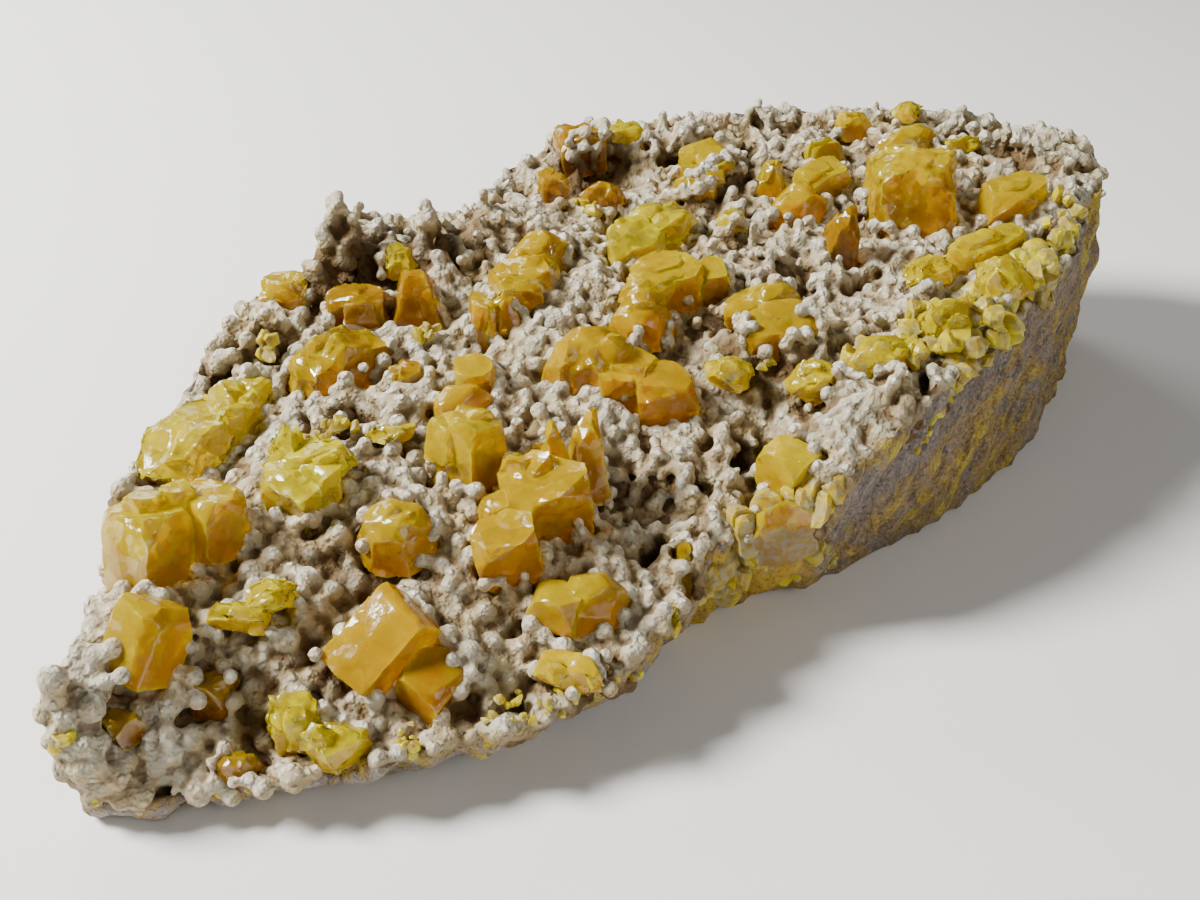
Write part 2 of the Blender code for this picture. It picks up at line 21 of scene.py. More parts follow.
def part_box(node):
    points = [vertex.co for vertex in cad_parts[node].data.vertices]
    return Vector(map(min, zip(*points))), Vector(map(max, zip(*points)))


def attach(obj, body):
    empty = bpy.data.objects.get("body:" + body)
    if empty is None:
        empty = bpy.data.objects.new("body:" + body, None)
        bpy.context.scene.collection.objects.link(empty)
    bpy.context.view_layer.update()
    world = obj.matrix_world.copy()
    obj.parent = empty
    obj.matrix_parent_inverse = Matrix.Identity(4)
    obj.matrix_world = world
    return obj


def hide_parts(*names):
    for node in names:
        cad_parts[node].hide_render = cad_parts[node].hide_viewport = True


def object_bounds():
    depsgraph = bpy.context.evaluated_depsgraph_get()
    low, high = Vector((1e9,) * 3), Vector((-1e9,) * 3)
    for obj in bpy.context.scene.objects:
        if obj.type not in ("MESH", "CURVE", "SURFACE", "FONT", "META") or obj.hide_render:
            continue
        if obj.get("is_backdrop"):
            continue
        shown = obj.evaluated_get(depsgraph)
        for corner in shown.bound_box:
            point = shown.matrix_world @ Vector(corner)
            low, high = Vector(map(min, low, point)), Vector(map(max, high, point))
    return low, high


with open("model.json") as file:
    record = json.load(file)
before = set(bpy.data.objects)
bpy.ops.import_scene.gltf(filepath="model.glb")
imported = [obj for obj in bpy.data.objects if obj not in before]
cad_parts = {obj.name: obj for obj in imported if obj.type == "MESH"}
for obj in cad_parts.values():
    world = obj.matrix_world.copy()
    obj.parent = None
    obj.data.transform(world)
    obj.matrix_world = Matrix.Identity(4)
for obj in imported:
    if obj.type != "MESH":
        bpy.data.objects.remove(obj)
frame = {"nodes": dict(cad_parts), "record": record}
CAD_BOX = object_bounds()
MM = 0.001
CRYSTALS = sorted(node for node in frame["nodes"] if node != "matrix")
print("solids:", len(frame["nodes"]), "of them crystals:", len(CRYSTALS))

# %% [markdown]
# ## Camera and light
#
# The specimen is seen from above its front left corner. One large soft light stands to the
# left and behind, so that the faces that look up and to the left shine pale, and the broken
# side at the right stays in soft shade. Two weak lights and a pale world fill the shade.

# %% Camera
EYE = Vector((-132.3, -144.04, 143.3)) * MM
AIM = Vector((4.6, 7.96, 0.0)) * MM
LENS = 42.63
SENSOR = 36.0
NEAREST = 10 * MM  # the camera draws nothing nearer


def aimed(thing, place, target):
    """Add a camera or a light to the scene at a place, turned to its target."""
    thing.location = place
    thing.rotation_euler = (target - place).to_track_quat("-Z", "Y").to_euler()
    bpy.context.scene.collection.objects.link(thing)


camera = bpy.data.objects.new("camera", bpy.data.cameras.new("camera"))
camera.data.lens = LENS
camera.data.sensor_width = SENSOR
camera.data.clip_start = NEAREST
aimed(camera, EYE, AIM)
bpy.context.scene.camera = camera
print("camera", round((AIM - EYE).length / MM), "mm from its aim")

# %% Lights
MIDDLE = Vector((0.0, 0.0, 20.0)) * MM
WORLD_STRENGTH = 0.12


def soft_light(name, place, size, power, colour):
    """A round light aimed at the slab, with its place and size in millimetres."""
    light = bpy.data.lights.new(name, "AREA")
    light.shape = "DISK"
    light.size = size * MM
    light.energy = power
    light.color = colour
    aimed(bpy.data.objects.new(name, light), Vector(place) * MM, MIDDLE)


soft_light("window", (-420, 360, 520), 240, 16.0, (1.0, 0.97, 0.92))
soft_light("back_light", (100, 560, 330), 300, 1.5, (1.0, 0.98, 0.95))
soft_light("front_fill", (60, -620, 380), 420, 1.4, (1.0, 0.96, 0.90))

world = bpy.data.worlds.new("studio")
world.use_nodes = True
sky = world.node_tree.nodes["Background"].inputs
sky["Color"].default_value = (1.0, 1.0, 1.0, 1.0)
sky["Strength"].default_value = WORLD_STRENGTH
bpy.context.scene.world = world

# %% [markdown]
# ## Shader maths as Python
#
# A material here is a Python function. Wire stands for one number on its way through the
# material, and its operators add the Math nodes. One method of Paint makes all other nodes.

# %% Wire and Paint
class Wire:
    """A number socket. Each operator adds a Math node and gives its result."""

    def __init__(self, paint, socket):
        self.paint, self.socket = paint, socket

    def reckon(self, operation, first, second=0.0):
        return self.paint.node("ShaderNodeMath", {"operation": operation},
                               {0: first, 1: second})

    def __add__(self, other):
        return self.reckon("ADD", self, other)

    def __sub__(self, other):
        return self.reckon("SUBTRACT", self, other)

    def __rsub__(self, other):
        return self.reckon("SUBTRACT", other, self)

    def __mul__(self, other):
        return self.reckon("MULTIPLY", self, other)

    __radd__, __rmul__ = __add__, __mul__

    def ramp(self, low, high):
        """0 below low, 1 above high, and a smooth step between."""
        return self.paint.node("ShaderNodeMapRange", {"interpolation_type": "SMOOTHSTEP"},
                               {"Value": self, "From Min": low, "From Max": high})


class Paint:
    """A material and the method that adds its nodes."""

    def __init__(self, name):
        self.material = bpy.data.materials.new(name)
        self.material.use_nodes = True
        self.tree = self.material.node_tree
        self.surface = self.tree.nodes["Principled BSDF"]
        self.place = self.node("ShaderNodeTexCoord", {}, {}, "Object")

    def node(self, kind, settings, sockets, output=0):
        """Add a node, set its settings and then the values or links of its sockets."""
        added = self.tree.nodes.new(kind)
        for setting, value in settings.items():
            setattr(added, setting, value)
        for name, value in sockets.items():
            self.feed(added.inputs[name], value)
        return Wire(self, added.outputs[output])

    def feed(self, socket, value):
        """Link a wire to a socket, or set the socket's value."""
        if isinstance(value, Wire):
            self.tree.links.new(value.socket, socket)
        elif isinstance(value, tuple) and len(value) == 3 and socket.type == "RGBA":
            socket.default_value = value + (1.0,)
        else:
            socket.default_value = value

    def noise(self, cell, detail=2.0, roughness=0.5, place=None, distortion=0.0):
        """Noise from 0 to 1 whose cells are so many millimetres wide."""
        return self.node("ShaderNodeTexNoise", {},
                         {"Vector": place or self.place, "Scale": 1.0 / (cell * MM),
                          "Detail": detail, "Roughness": roughness,
                          "Distortion": distortion})

    def facets(self, cell):
        """Facets so many millimetres wide. Gives a height that slopes another way on each
        facet, and a random number for each."""
        pattern = self.node("ShaderNodeTexVoronoi", {},
                            {"Vector": self.place, "Scale": 1.0 / (cell * MM)}).socket.node
        colour, middle = (Wire(self, pattern.outputs[name]) for name in ("Color", "Position"))
        offset = self.node("ShaderNodeVectorMath", {"operation": "SUBTRACT"},
                           {0: self.place, 1: middle})
        slope = self.node("ShaderNodeVectorMath", {"operation": "SUBTRACT"},
                          {0: colour, 1: (0.5, 0.5, 0.5)})
        height = self.node("ShaderNodeVectorMath", {"operation": "DOT_PRODUCT"},
                           {0: offset, 1: slope}, "Value")
        chance = self.node("ShaderNodeSeparateXYZ", {}, {"Vector": colour})
        return height * (1.0 / (cell * MM)), chance

    def beads(self, cell, smoothness, low):
        """1 on round grains so many millimetres wide, and 0 in the gaps between them."""
        gaps = self.node("ShaderNodeTexVoronoi", {"feature": "SMOOTH_F1"},
                         {"Vector": self.place, "Scale": 1.0 / (cell * MM),
                          "Smoothness": smoothness})
        return (1.0 - gaps).ramp(low, 0.85)

    def stretched(self, turn, sizes):
        """Object coordinates, so many times longer along axes turned by so many degrees."""
        angles = tuple(math.radians(angle) for angle in turn)
        return self.node("ShaderNodeMapping", {"vector_type": "TEXTURE"},
                         {"Vector": self.place, "Rotation": angles, "Scale": sizes})

    def blend(self, factor, first, second, kind="MIX"):
        """A colour that goes from the first to the second with the factor."""
        return self.node("ShaderNodeMix", {"data_type": "RGBA", "blend_type": kind},
                         {0: factor, 6: first, 7: second}, 2)

    def layered(self, colour, *layers):
        """Lay tones over a colour, each with its own factor."""
        for factor, tone in layers:
            colour = self.blend(factor, colour, tone)
        return colour

    def attribute(self, name):
        """A number that was kept at each vertex."""
        return self.node("ShaderNodeAttribute", {"attribute_name": name}, {}, "Fac")

    def bump(self, height, depth, strength=1.0, normal=None):
        """Tilt the surface by a height from 0 to 1 that stands for so many millimetres."""
        sockets = {"Height": height, "Distance": depth * MM, "Strength": strength}
        if normal:
            sockets["Normal"] = normal
        return self.node("ShaderNodeBump", {}, sockets)

    def finish(self, **sockets):
        """Feed the surface's sockets and give the material."""
        for name, value in sockets.items():
            self.feed(self.surface.inputs[name.replace("_", " ")], value)
        return self.material


# %% [markdown]
# ## Working with meshes as arrays
#
# The solids come as loose triangles, so each is copied and its corners are merged first.
# After that a mesh is read into a numpy array, worked on as a whole, and written back.

# %% Mesh helpers
MERGE = 0.002 * MM


def linked(name, mesh):
    """Add a mesh to the scene, as an object at the origin."""
    piece = bpy.data.objects.new(name, mesh)
    bpy.context.scene.collection.objects.link(piece)
    return piece


def merged_copy(node, name):
    """A copy of a solid with its doubled corners merged."""
    mesh = frame["nodes"][node].data.copy()
    mesh.materials.clear()
    solid = bmesh.new()
    solid.from_mesh(mesh)
    bmesh.ops.remove_doubles(solid, verts=solid.verts[:], dist=MERGE)
    solid.to_mesh(mesh)
    solid.free()
    return linked(name, mesh)


def apply_modifiers(piece):
    """Make what the modifiers show the piece's own mesh."""
    graph = bpy.context.evaluated_depsgraph_get()
    mesh = bpy.data.meshes.new_from_object(piece.evaluated_get(graph))
    piece.modifiers.clear()
    piece.data = mesh


def voxel_skin(piece, cell, smoothing):
    """Rebuild a piece as one closed skin of so wide cells, in mm, smoothed so many times."""
    remesh = piece.modifiers.new("Skin", "REMESH")
    remesh.mode = "VOXEL"
    remesh.voxel_size = cell * MM
    remesh.use_smooth_shade = True
    if smoothing:
        smooth = piece.modifiers.new("Smooth", "SMOOTH")
        smooth.iterations = smoothing
        smooth.factor = 0.5
    apply_modifiers(piece)


def fetched(items, what, width, kind=np.int32):
    """One property of every item, in rows of so many numbers."""
    values = np.empty(width * len(items), dtype=kind)
    items.foreach_get(what, values)
    return values.reshape(-1, width)


def read(mesh, what="co"):
    """The place or the normal of every vertex."""
    return fetched(mesh.vertices, what, 3, np.float32).astype(float)


def write(mesh, points):
    mesh.vertices.foreach_set("co", points.astype(np.float32).ravel())
    mesh.update()


def keep_values(mesh, **named):
    """Store numbers at the vertices for a material to read, each one for all or one each."""
    for name, values in named.items():
        attribute = mesh.attributes.new(name, "FLOAT", "POINT")
        spread = np.broadcast_to(values, len(mesh.vertices))
        attribute.data.foreach_set("value", spread.astype(np.float32))


def ends_of_edges(mesh):
    """The two vertices of every edge."""
    return fetched(mesh.edges, "vertices", 2)


def neighbour_mean(values, ends):
    """For each vertex, the mean of its neighbours' values."""
    total = np.zeros_like(values)
    count = np.zeros(len(values))
    for start, end in ((0, 1), (1, 0)):
        np.add.at(total, ends[:, start], values[ends[:, end]])
        np.add.at(count, ends[:, start], 1.0)
    return (total.T / np.maximum(count, 1.0)).T


def step(values, low, high):
    """0 below low, 1 above high, and 3t^2 - 2t^3 between."""
    t = np.clip((values - low) / (high - low), 0.0, 1.0)
    return t * t * (3.0 - 2.0 * t)


LATTICE = 32  # the random numbers repeat after so many cells
LATTICE_START = 1000.0  # cells from the lattice's first corner to the origin


def lattice_noise(points, cell, seed):
    """Smooth noise from -1 to 1. Random numbers stand on a lattice whose cells are so many
    millimetres wide, and each point blends the eight around it with a 3t^2 - 2t^3 fade."""
    lattice = np.random.default_rng(seed).uniform(-1.0, 1.0, (LATTICE, LATTICE, LATTICE))
    place = points / (cell * MM) + LATTICE_START
    corner = np.floor(place).astype(int)
    fade = place - corner
    fade = fade * fade * (3.0 - 2.0 * fade)
    total = np.zeros(len(points))
    for offset in np.ndindex(2, 2, 2):
        weight = np.where(np.array(offset) == 1, fade, 1.0 - fade).prod(axis=1)
        i, j, k = ((corner + offset) % LATTICE).T
        total += weight * lattice[i, j, k]
    return total


# %% [markdown]
# ## Plan maps
#
# Several steps ask how high something stands at a place. A plan map answers that: it is a
# grid of squares seen from above, and each square holds the highest corner that lies in it.

# %% Plan maps
MAP_CELL = 1.0
MAP_LOW = np.array([-115.0, -62.0])
MAP_SHAPE = (230, 124)


def height_map(points):
    """The highest point over each square of the plan grid, in metres."""
    squares = ((points[:, :2] / MM - MAP_LOW) / MAP_CELL).astype(int)
    heights = np.zeros(MAP_SHAPE)
    np.maximum.at(heights, (squares[:, 0], squares[:, 1]), points[:, 2])
    return heights


def widened(heights, reach):
    """Each square takes the highest value within so many squares, and is then smoothed."""
    highest = heights
    for i in range(-reach, reach + 1):
        for j in range(-reach, reach + 1):
            if i * i + j * j <= reach * reach:
                highest = np.maximum(highest, np.roll(heights, (i, j), (0, 1)))
    for _ in range(2):
        sides = [np.roll(highest, shift, axis) for shift in (-1, 1) for axis in (0, 1)]
        highest = 0.5 * highest + 0.125 * sum(sides)
    return highest


def averaged(heights, rounds):
    """Each square takes the mean round it, of the squares that hold anything."""
    total, count = heights.copy(), (heights > 0.0).astype(float)
    for _ in range(rounds):
        for axis in (0, 1):
            total = total + np.roll(total, 1, axis) + np.roll(total, -1, axis)
            count = count + np.roll(count, 1, axis) + np.roll(count, -1, axis)
    return total / np.maximum(count, 1.0)


def sampled(heights, points):
    """The map's height at each point, blended between the four nearest squares."""
    place = (points[:, :2] / MM - MAP_LOW) / MAP_CELL - 0.5
    corner = np.floor(place).astype(int)
    u, v = (place - corner).T
    i, j = corner.T
    near = heights[i, j] * (1.0 - v) + heights[i, j + 1] * v
    far = heights[i + 1, j] * (1.0 - v) + heights[i + 1, j + 1] * v
    return near * (1.0 - u) + far * u


# %% [markdown]
# ## The rock
#
# The slab is rebuilt as one skin of small cells. Its top is sunk a little, and much more in
# hollows, because the crust of nodules stands on it. Ridged noise gives the hollows: the
# noise's zero lines become crests, as in coral. Near a crystal the rock isn't sunk further,
# so no crystal loses its hold. The broken sides get ledges, steps and grain.

# %% Rock: the sunk top and the broken sides
ROCK_CELL = 1.2
CRUST_ROOM = 2.5
HOLLOW_DEPTH = 8.0
HOLLOW_CELLS = (8.5, 3.4)
DEEPEST = 0.46  # no hollow takes more than this share of the slab's height
BY_CRYSTALS = (0.95, 1.45)  # hollows begin between these, in half widths of the crystal
LEFT_TIP = (76 * MM, 90 * MM)  # left of the middle; past it the sides are crusted too
CRUST_FOOT = (3 * MM, 6 * MM)  # the crust begins between these heights
UPWARD_ROUNDS = 8
SIDE_LEAN = 0.6  # ledges of the break lean to the right by this slope
LEDGE_CELLS = (6.5, 3.0, 1.6)
CRYSTAL_ROOM = 0.8 * MM


def crystal_nearness(points):
    """Distance to the nearest crystal's middle on plan, in half widths of that crystal."""
    nearest = np.full(len(points), np.inf)
    for node in CRYSTALS:
        low, high = (np.array(corner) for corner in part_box(node))
        offset = (points - (low + high) / 2) / ((high - low) / 2 + CRYSTAL_ROOM)
        nearest = np.minimum(nearest, np.hypot(offset[:, 0], offset[:, 1]))
    return nearest


def hollow_at(points):
    """0 on the crests and up to 1 in the hollows between them."""
    wide, narrow = (lattice_noise(points, cell, 3 + k) for k, cell in enumerate(HOLLOW_CELLS))
    return step(np.abs(wide + 0.5 * narrow), 0.12, 0.62)


rock = merged_copy("matrix", "rock")
voxel_skin(rock, ROCK_CELL, 1)
points, normals = read(rock.data), read(rock.data, "normal")
TOP_MAP = height_map(points)
ends = ends_of_edges(rock.data)
upward = normals[:, 2].copy()
for _ in range(UPWARD_ROUNDS):
    upward = neighbour_mean(upward, ends)
crusted = np.maximum(step(upward, 0.25, 0.60), step(-points[:, 0], *LEFT_TIP))
crusted *= step(points[:, 2], *CRUST_FOOT)
hollow = hollow_at(points) * step(crystal_nearness(points), *BY_CRYSTALS)
sunk = (CRUST_ROOM + HOLLOW_DEPTH * hollow) * MM * step(upward, 0.0, 0.5)
points[:, 2] -= crusted * np.minimum(sunk, DEEPEST * points[:, 2])
points -= normals * (crusted * step(-upward, -0.5, -0.1) * MM)[:, None]

# Ledges are long crests, steps and grain are plain noise, and the base stays flat
standing = (1.0 - crusted) * step(points[:, 2], 0.2 * MM, 2.0 * MM)
slanted = (points - (SIDE_LEAN, 0.0, 0.0) * points[:, 2:]) * (1.0, 1.0, 0.4)
ledges = 0.9 - 2.4 * np.abs(lattice_noise(slanted, LEDGE_CELLS[0], 11))
break_steps = 1.5 * ledges + lattice_noise(slanted, LEDGE_CELLS[1], 12)
break_grain = 0.5 * lattice_noise(points, LEDGE_CELLS[2], 13)
points += normals * (standing * (break_steps + break_grain) * MM)[:, None]
write(rock.data, points)
keep_values(rock.data, crusted=crusted)
print("rock:", len(rock.data.vertices), "vertices,", round(float(crusted.mean()), 2), "crusted")

# %% [markdown]
# ## The crust of nodules
#
# Each nodule is a small ball with a sugary skin. Thousands of them stand shoulder to
# shoulder, and where they touch they have grown together. Balls alone would show a sharp
# line at each contact, so all the balls of a stretch are rebuilt as one skin. First points
# are thrown onto the rock's own surface and thinned, each by its own nodule's size.

# %% Nodules: points on the rock
NODULE_RADIUS = 1.0
LEFT_GROWTH = 0.5
NODULE_SPREAD = (0.72, 1.25)
NODULE_GAP = 1.30  # in radii
FILL_RADIUS = (0.6, 0.9)
LEFT_HALF = (10 * MM, 70 * MM)  # nodules grow larger between these, left of the middle
NODULE_FOOT = (5 * MM, 8 * MM)
NODULE_RISE = 0.25  # how far a nodule's middle stands out, in radii
FILL_SINK = 0.5  # and how far a small one's lies in
CANDIDATES = 90000
rng = np.random.default_rng(7)


def triangle_corners(mesh):
    """The three vertices of every triangle."""
    mesh.calc_loop_triangles()
    return fetched(mesh.loop_triangles, "vertices", 3)


def scattered(points, triangles, weights, count):
    """Random points on triangles, by area times weight; gives points, normals and which."""
    a, b, c = (points[triangles[:, k]] for k in range(3))
    across = np.cross(b - a, c - a)
    area = np.linalg.norm(across, axis=1)
    share = area * weights[triangles].mean(axis=1)
    chosen = rng.choice(len(triangles), count, p=share / share.sum())
    u, v = rng.random((2, count, 1))
    flip = u + v > 1.0
    u, v = np.where(flip, 1.0 - u, u), np.where(flip, 1.0 - v, v)
    place = a[chosen] + u * (b - a)[chosen] + v * (c - a)[chosen]
    return place, (across / area[:, None])[chosen], chosen


def thinned(points, gaps):
    """Go through the points in order and keep each one that no kept point is near."""
    tree = KDTree(len(points))
    for index, point in enumerate(points):
        tree.insert(point, index)
    tree.balance()
    free = np.ones(len(points), dtype=bool)
    kept = []
    for index, point in enumerate(points):
        if free[index]:
            kept.append(index)
            free[[other for _, other, _ in tree.find_range(point, gaps[index])]] = False
    return np.array(kept)


def all_crystal_faces():
    """All crystals as one list of corners and one of triangles, and whose each one is."""
    corners, faces, owners = [], [], []
    start = 0
    for node in CRYSTALS:
        mesh = frame["nodes"][node].data
        triangles = triangle_corners(mesh)
        corners.append(read(mesh))
        faces.append(triangles + start)
        owners += [node] * len(triangles)
        start += len(mesh.vertices)
    return np.concatenate(corners), np.concatenate(faces), np.array(owners)


def outside(points, tree, margin):
    """True for each point that is further outside every crystal than the margin."""
    clear = []
    for point in points:
        near, normal, _, distance = tree.find_nearest(point)
        inside = (Vector(point) - near).dot(normal) < 0.0
        clear.append(not inside and distance > margin)
    return np.array(clear)


triangles = triangle_corners(rock.data)
weights = step(crusted, 0.25, 0.6) * step(points[:, 2], *NODULE_FOOT)
seeds, lean, _ = scattered(points, triangles, weights, CANDIDATES)
radii = NODULE_RADIUS + LEFT_GROWTH * step(-seeds[:, 0], *LEFT_HALF)
radii *= rng.uniform(*NODULE_SPREAD, len(seeds)) * MM
kept = thinned(seeds, NODULE_GAP * radii)
seeds, lean, radii = seeds[kept], lean[kept], radii[kept]

# Small nodules fill the gaps that the others left
fill, fill_lean, _ = scattered(points, triangles, weights, CANDIDATES)
small = rng.uniform(*FILL_RADIUS, len(fill)) * MM
gaps = np.concatenate((1.05 * radii, 1.1 * small))
kept = thinned(np.concatenate((seeds, fill)), gaps)
filled = kept[kept >= len(seeds)] - len(seeds)
middles = np.concatenate((seeds + lean * (NODULE_RISE * radii)[:, None],
                          (fill - fill_lean * (FILL_SINK * small)[:, None])[filled]))
nodule_radii = np.concatenate((radii, small[filled]))
print("nodules on the rock:", len(seeds), "and", len(filled), "small ones")

# %% [markdown]
# From many of these nodules a short finger grows: a chain of balls that wanders as it
# rises, until it reaches the height of the solid's own top. Fingers stand on the crests and
# seldom in the hollows, so the hollows stay deep and dark. On a few crests they climb
# higher and make small ragged ridges.

# %% Fingers
FINGER_GAP = 2.2  # in radii
FINGER_BALLS = 6
FINGER_REACH = 1.2
FINGER_CLIMB = 3.2
FINGER_STEP = 1.35
FINGER_WANDER = 0.32
FINGER_LEAN = 0.6
FINGER_SIZES = (0.70, 1.10) # in radii of the nodule at the root
CRYSTAL_GAP = 0.25 * MM

roots = thinned(seeds, FINGER_GAP * radii)
roots = roots[rng.random(len(roots)) > 1.05 * hollow_at(seeds[roots])]
shape = (len(roots), FINGER_BALLS)
ways = lean[roots][:, None] * FINGER_LEAN + (0.0, 0.0, FINGER_LEAN)
ways = ways + rng.normal(0.0, FINGER_WANDER, shape + (3,))
ways /= np.linalg.norm(ways, axis=2)[..., None]
sizes = radii[roots][:, None] * rng.uniform(*FINGER_SIZES, shape)
chain = middles[roots][:, None] + np.cumsum(ways * (FINGER_STEP * sizes)[..., None], axis=1)
chain, sizes = chain.reshape(-1, 3), sizes.ravel()
ceiling = sampled(TOP_MAP, chain)
ceiling += rng.uniform(-0.3, 1.0, len(roots)).repeat(FINGER_BALLS) * FINGER_REACH * MM

# Ridges climb where a noise is high, away from the crystals and from the front edge
climbs = step(lattice_noise(chain, 7.0, 41), 0.1, 0.4)
climbs *= step(crystal_nearness(chain), 1.3, 1.8) * step(chain[:, 1], -40 * MM, -25 * MM)
ceiling += climbs * FINGER_CLIMB * MM
low_enough = chain[:, 2] + sizes < ceiling
middles = np.concatenate((middles, chain[low_enough]))
radii = np.concatenate((nodule_radii, sizes[low_enough]))

corners, faces, owners = all_crystal_faces()
clear = outside(middles, BVHTree.FromPolygons(corners.tolist(), faces.tolist()), CRYSTAL_GAP)
middles, radii = middles[clear], radii[clear]

# A few tall fingers, two balls to the millimetre: x, y, height, leaning and thickness in mm
TALL_FINGERS = (
    (-25.5, 38.5, 9.0, 1.0, 1.9), (-28.0, 37.5, 6.5, 0.0, 1.8), (-23.5, 37.0, 6.0, 0.5, 1.8),
    (-30.5, 36.5, 4.0, -1.0, 1.7), (-26.0, 35.0, 4.0, 0.5, 1.7), (-21.0, 36.0, 3.5, 1.0, 1.6),
    (-13.0, 31.0, 6.0, 1.5, 1.8), (-15.0, 30.0, 3.5, 0.5, 1.6), (-52.0, -25.0, 5.0, 2.0, 1.4),
    (-2.0, -8.0, 4.5, -1.0, 1.4), (47.0, 12.0, 4.5, 0.5, 1.4))
for x, y, tall, leaning, thick in TALL_FINGERS:
    count = int(2.0 * tall)
    rises = np.linspace(0.0, 1.0, count)
    stalk = np.stack((x + leaning * rises, y + 0.3 * leaning * rises,
                      tall * rises - 1.5), axis=1) * MM
    stalk[:, 2] += sampled(TOP_MAP, stalk[:1])[0]
    middles = np.concatenate((middles, stalk + rng.normal(0.0, 0.3 * thick * MM, stalk.shape)))
    radii = np.concatenate((radii, thick * rng.uniform(0.6, 0.8, count) * (1.2 - 0.4 * rises) * MM))
print("fingers:", len(roots), "nodules:", len(middles))

# %% [markdown]
# Nodules also grow up round the foot of most crystals, to a wavy line, and over the top of
# a few. They stand on the crystals' own faces.

# %% Nodules on the crystals
COLLAR_TOP = -1.2
COLLAR_RADIUS = (0.8, 1.4)
COLLAR_GAP = 1.7  # in radii
COLLAR_FOOT = -2.5
COLLAR_CANDIDATES = 30000
OVERGROWN = ("sulfur_rear_olive", "sulfur_right_gem", "sulfur_back_amber", "sulfur_right_small")

feet, away, chosen = scattered(corners, faces, np.ones(len(corners)), COLLAR_CANDIDATES)
rise = (feet[:, 2] - sampled(widened(TOP_MAP, 3), feet)) / MM
climb = COLLAR_TOP + 3.0 * lattice_noise(feet, 4.0, 51)
over = np.isin(owners[chosen], OVERGROWN) & (lattice_noise(feet, 5.0, 52) > 0.12)
wanted = (away[:, 2] > -0.5) & (rise > COLLAR_FOOT) & ((rise < climb) | over)
feet, away = feet[wanted], away[wanted]
sizes = rng.uniform(*COLLAR_RADIUS, len(feet)) * MM
kept = thinned(feet, COLLAR_GAP * sizes)
feet, away, sizes = feet[kept], away[kept], sizes[kept]
middles = np.concatenate((middles, feet + away * (0.2 * sizes)[:, None]))
radii = np.concatenate((radii, sizes))
print("nodules on crystals:", len(feet))

# %% [markdown]
# A ball is a grid of two angles, and all the balls of a stretch are made in one go: the
# grid of one ball, times every radius, plus every middle. Then the stretch is rebuilt as
# one skin.

# %% Nodules: balls, and the skin over them
CRUST_CELL = 0.52
STRETCHES = 5
OVERLAP = 1.06  # balls are larger by this, so that neighbours run together
CREASE = 0.05 * MM


def ball_grid(rings, sectors):
    """Corners and faces of a unit ball: x = sin(a) cos(b), y = sin(a) sin(b), z = cos(a)."""
    a = np.linspace(0.0, np.pi, rings + 1)[1:-1, None]
    b = np.linspace(0.0, 2 * np.pi, sectors, endpoint=False)[None, :]
    belt = np.stack((np.sin(a) * np.cos(b), np.sin(a) * np.sin(b),
                     np.cos(a) + 0.0 * b), axis=-1).reshape(-1, 3)
    corners = np.concatenate((belt, ((0, 0, 1), (0, 0, -1))))
    ring = np.arange(sectors)
    after = (ring + 1) % sectors
    faces = []
    for row in range(rings - 2):
        upper, lower = row * sectors, (row + 1) * sectors
        faces.append(np.stack((upper + ring, lower + ring, lower + after), axis=1))
        faces.append(np.stack((upper + ring, lower + after, upper + after), axis=1))
    last = (rings - 2) * sectors
    top, bottom = len(corners) - 2, len(corners) - 1
    faces.append(np.stack((0 * ring + top, ring, after), axis=1))
    faces.append(np.stack((0 * ring + bottom, last + after, last + ring), axis=1))
    return corners, np.concatenate(faces)


def many(name, corners, faces, middles):
    """One mesh of many small solids: the corners of each, round its own middle."""
    points = (corners + middles[:, None]).reshape(-1, 3)
    starts = np.arange(len(middles)) * corners.shape[1]
    triangles = (faces[None] + starts[:, None, None]).reshape(-1, 3)
    mesh = bpy.data.meshes.new(name)
    mesh.from_pydata(points.tolist(), [], triangles.tolist())
    return linked(name, mesh)


def crevice_at(mesh):
    """How hollow the skin is at each vertex: the offset of its neighbours' mean along the
    normal, from -1 on a bump to 1 in a crease."""
    points, normals, ends = read(mesh), read(mesh, "normal"), ends_of_edges(mesh)
    bend = ((neighbour_mean(points, ends) - points) * normals).sum(axis=1)
    for _ in range(2):
        bend = 0.5 * bend + 0.5 * neighbour_mean(bend, ends)
    return np.clip(bend / CREASE, -1.0, 1.0)


BALL, BALL_FACES = ball_grid(6, 8)
order = np.argsort(middles[:, 0])
crust = []
share = np.cumsum(radii[order] ** 2)
borders = np.searchsorted(share, share[-1] * np.arange(1, STRETCHES) / STRETCHES)
for number, stretch in enumerate(np.split(order, borders)):
    corners = OVERLAP * radii[stretch][:, None, None] * BALL[None]
    piece = many(f"crust_{number}", corners, BALL_FACES, middles[stretch])
    voxel_skin(piece, CRUST_CELL, 0)
    crust.append(piece)
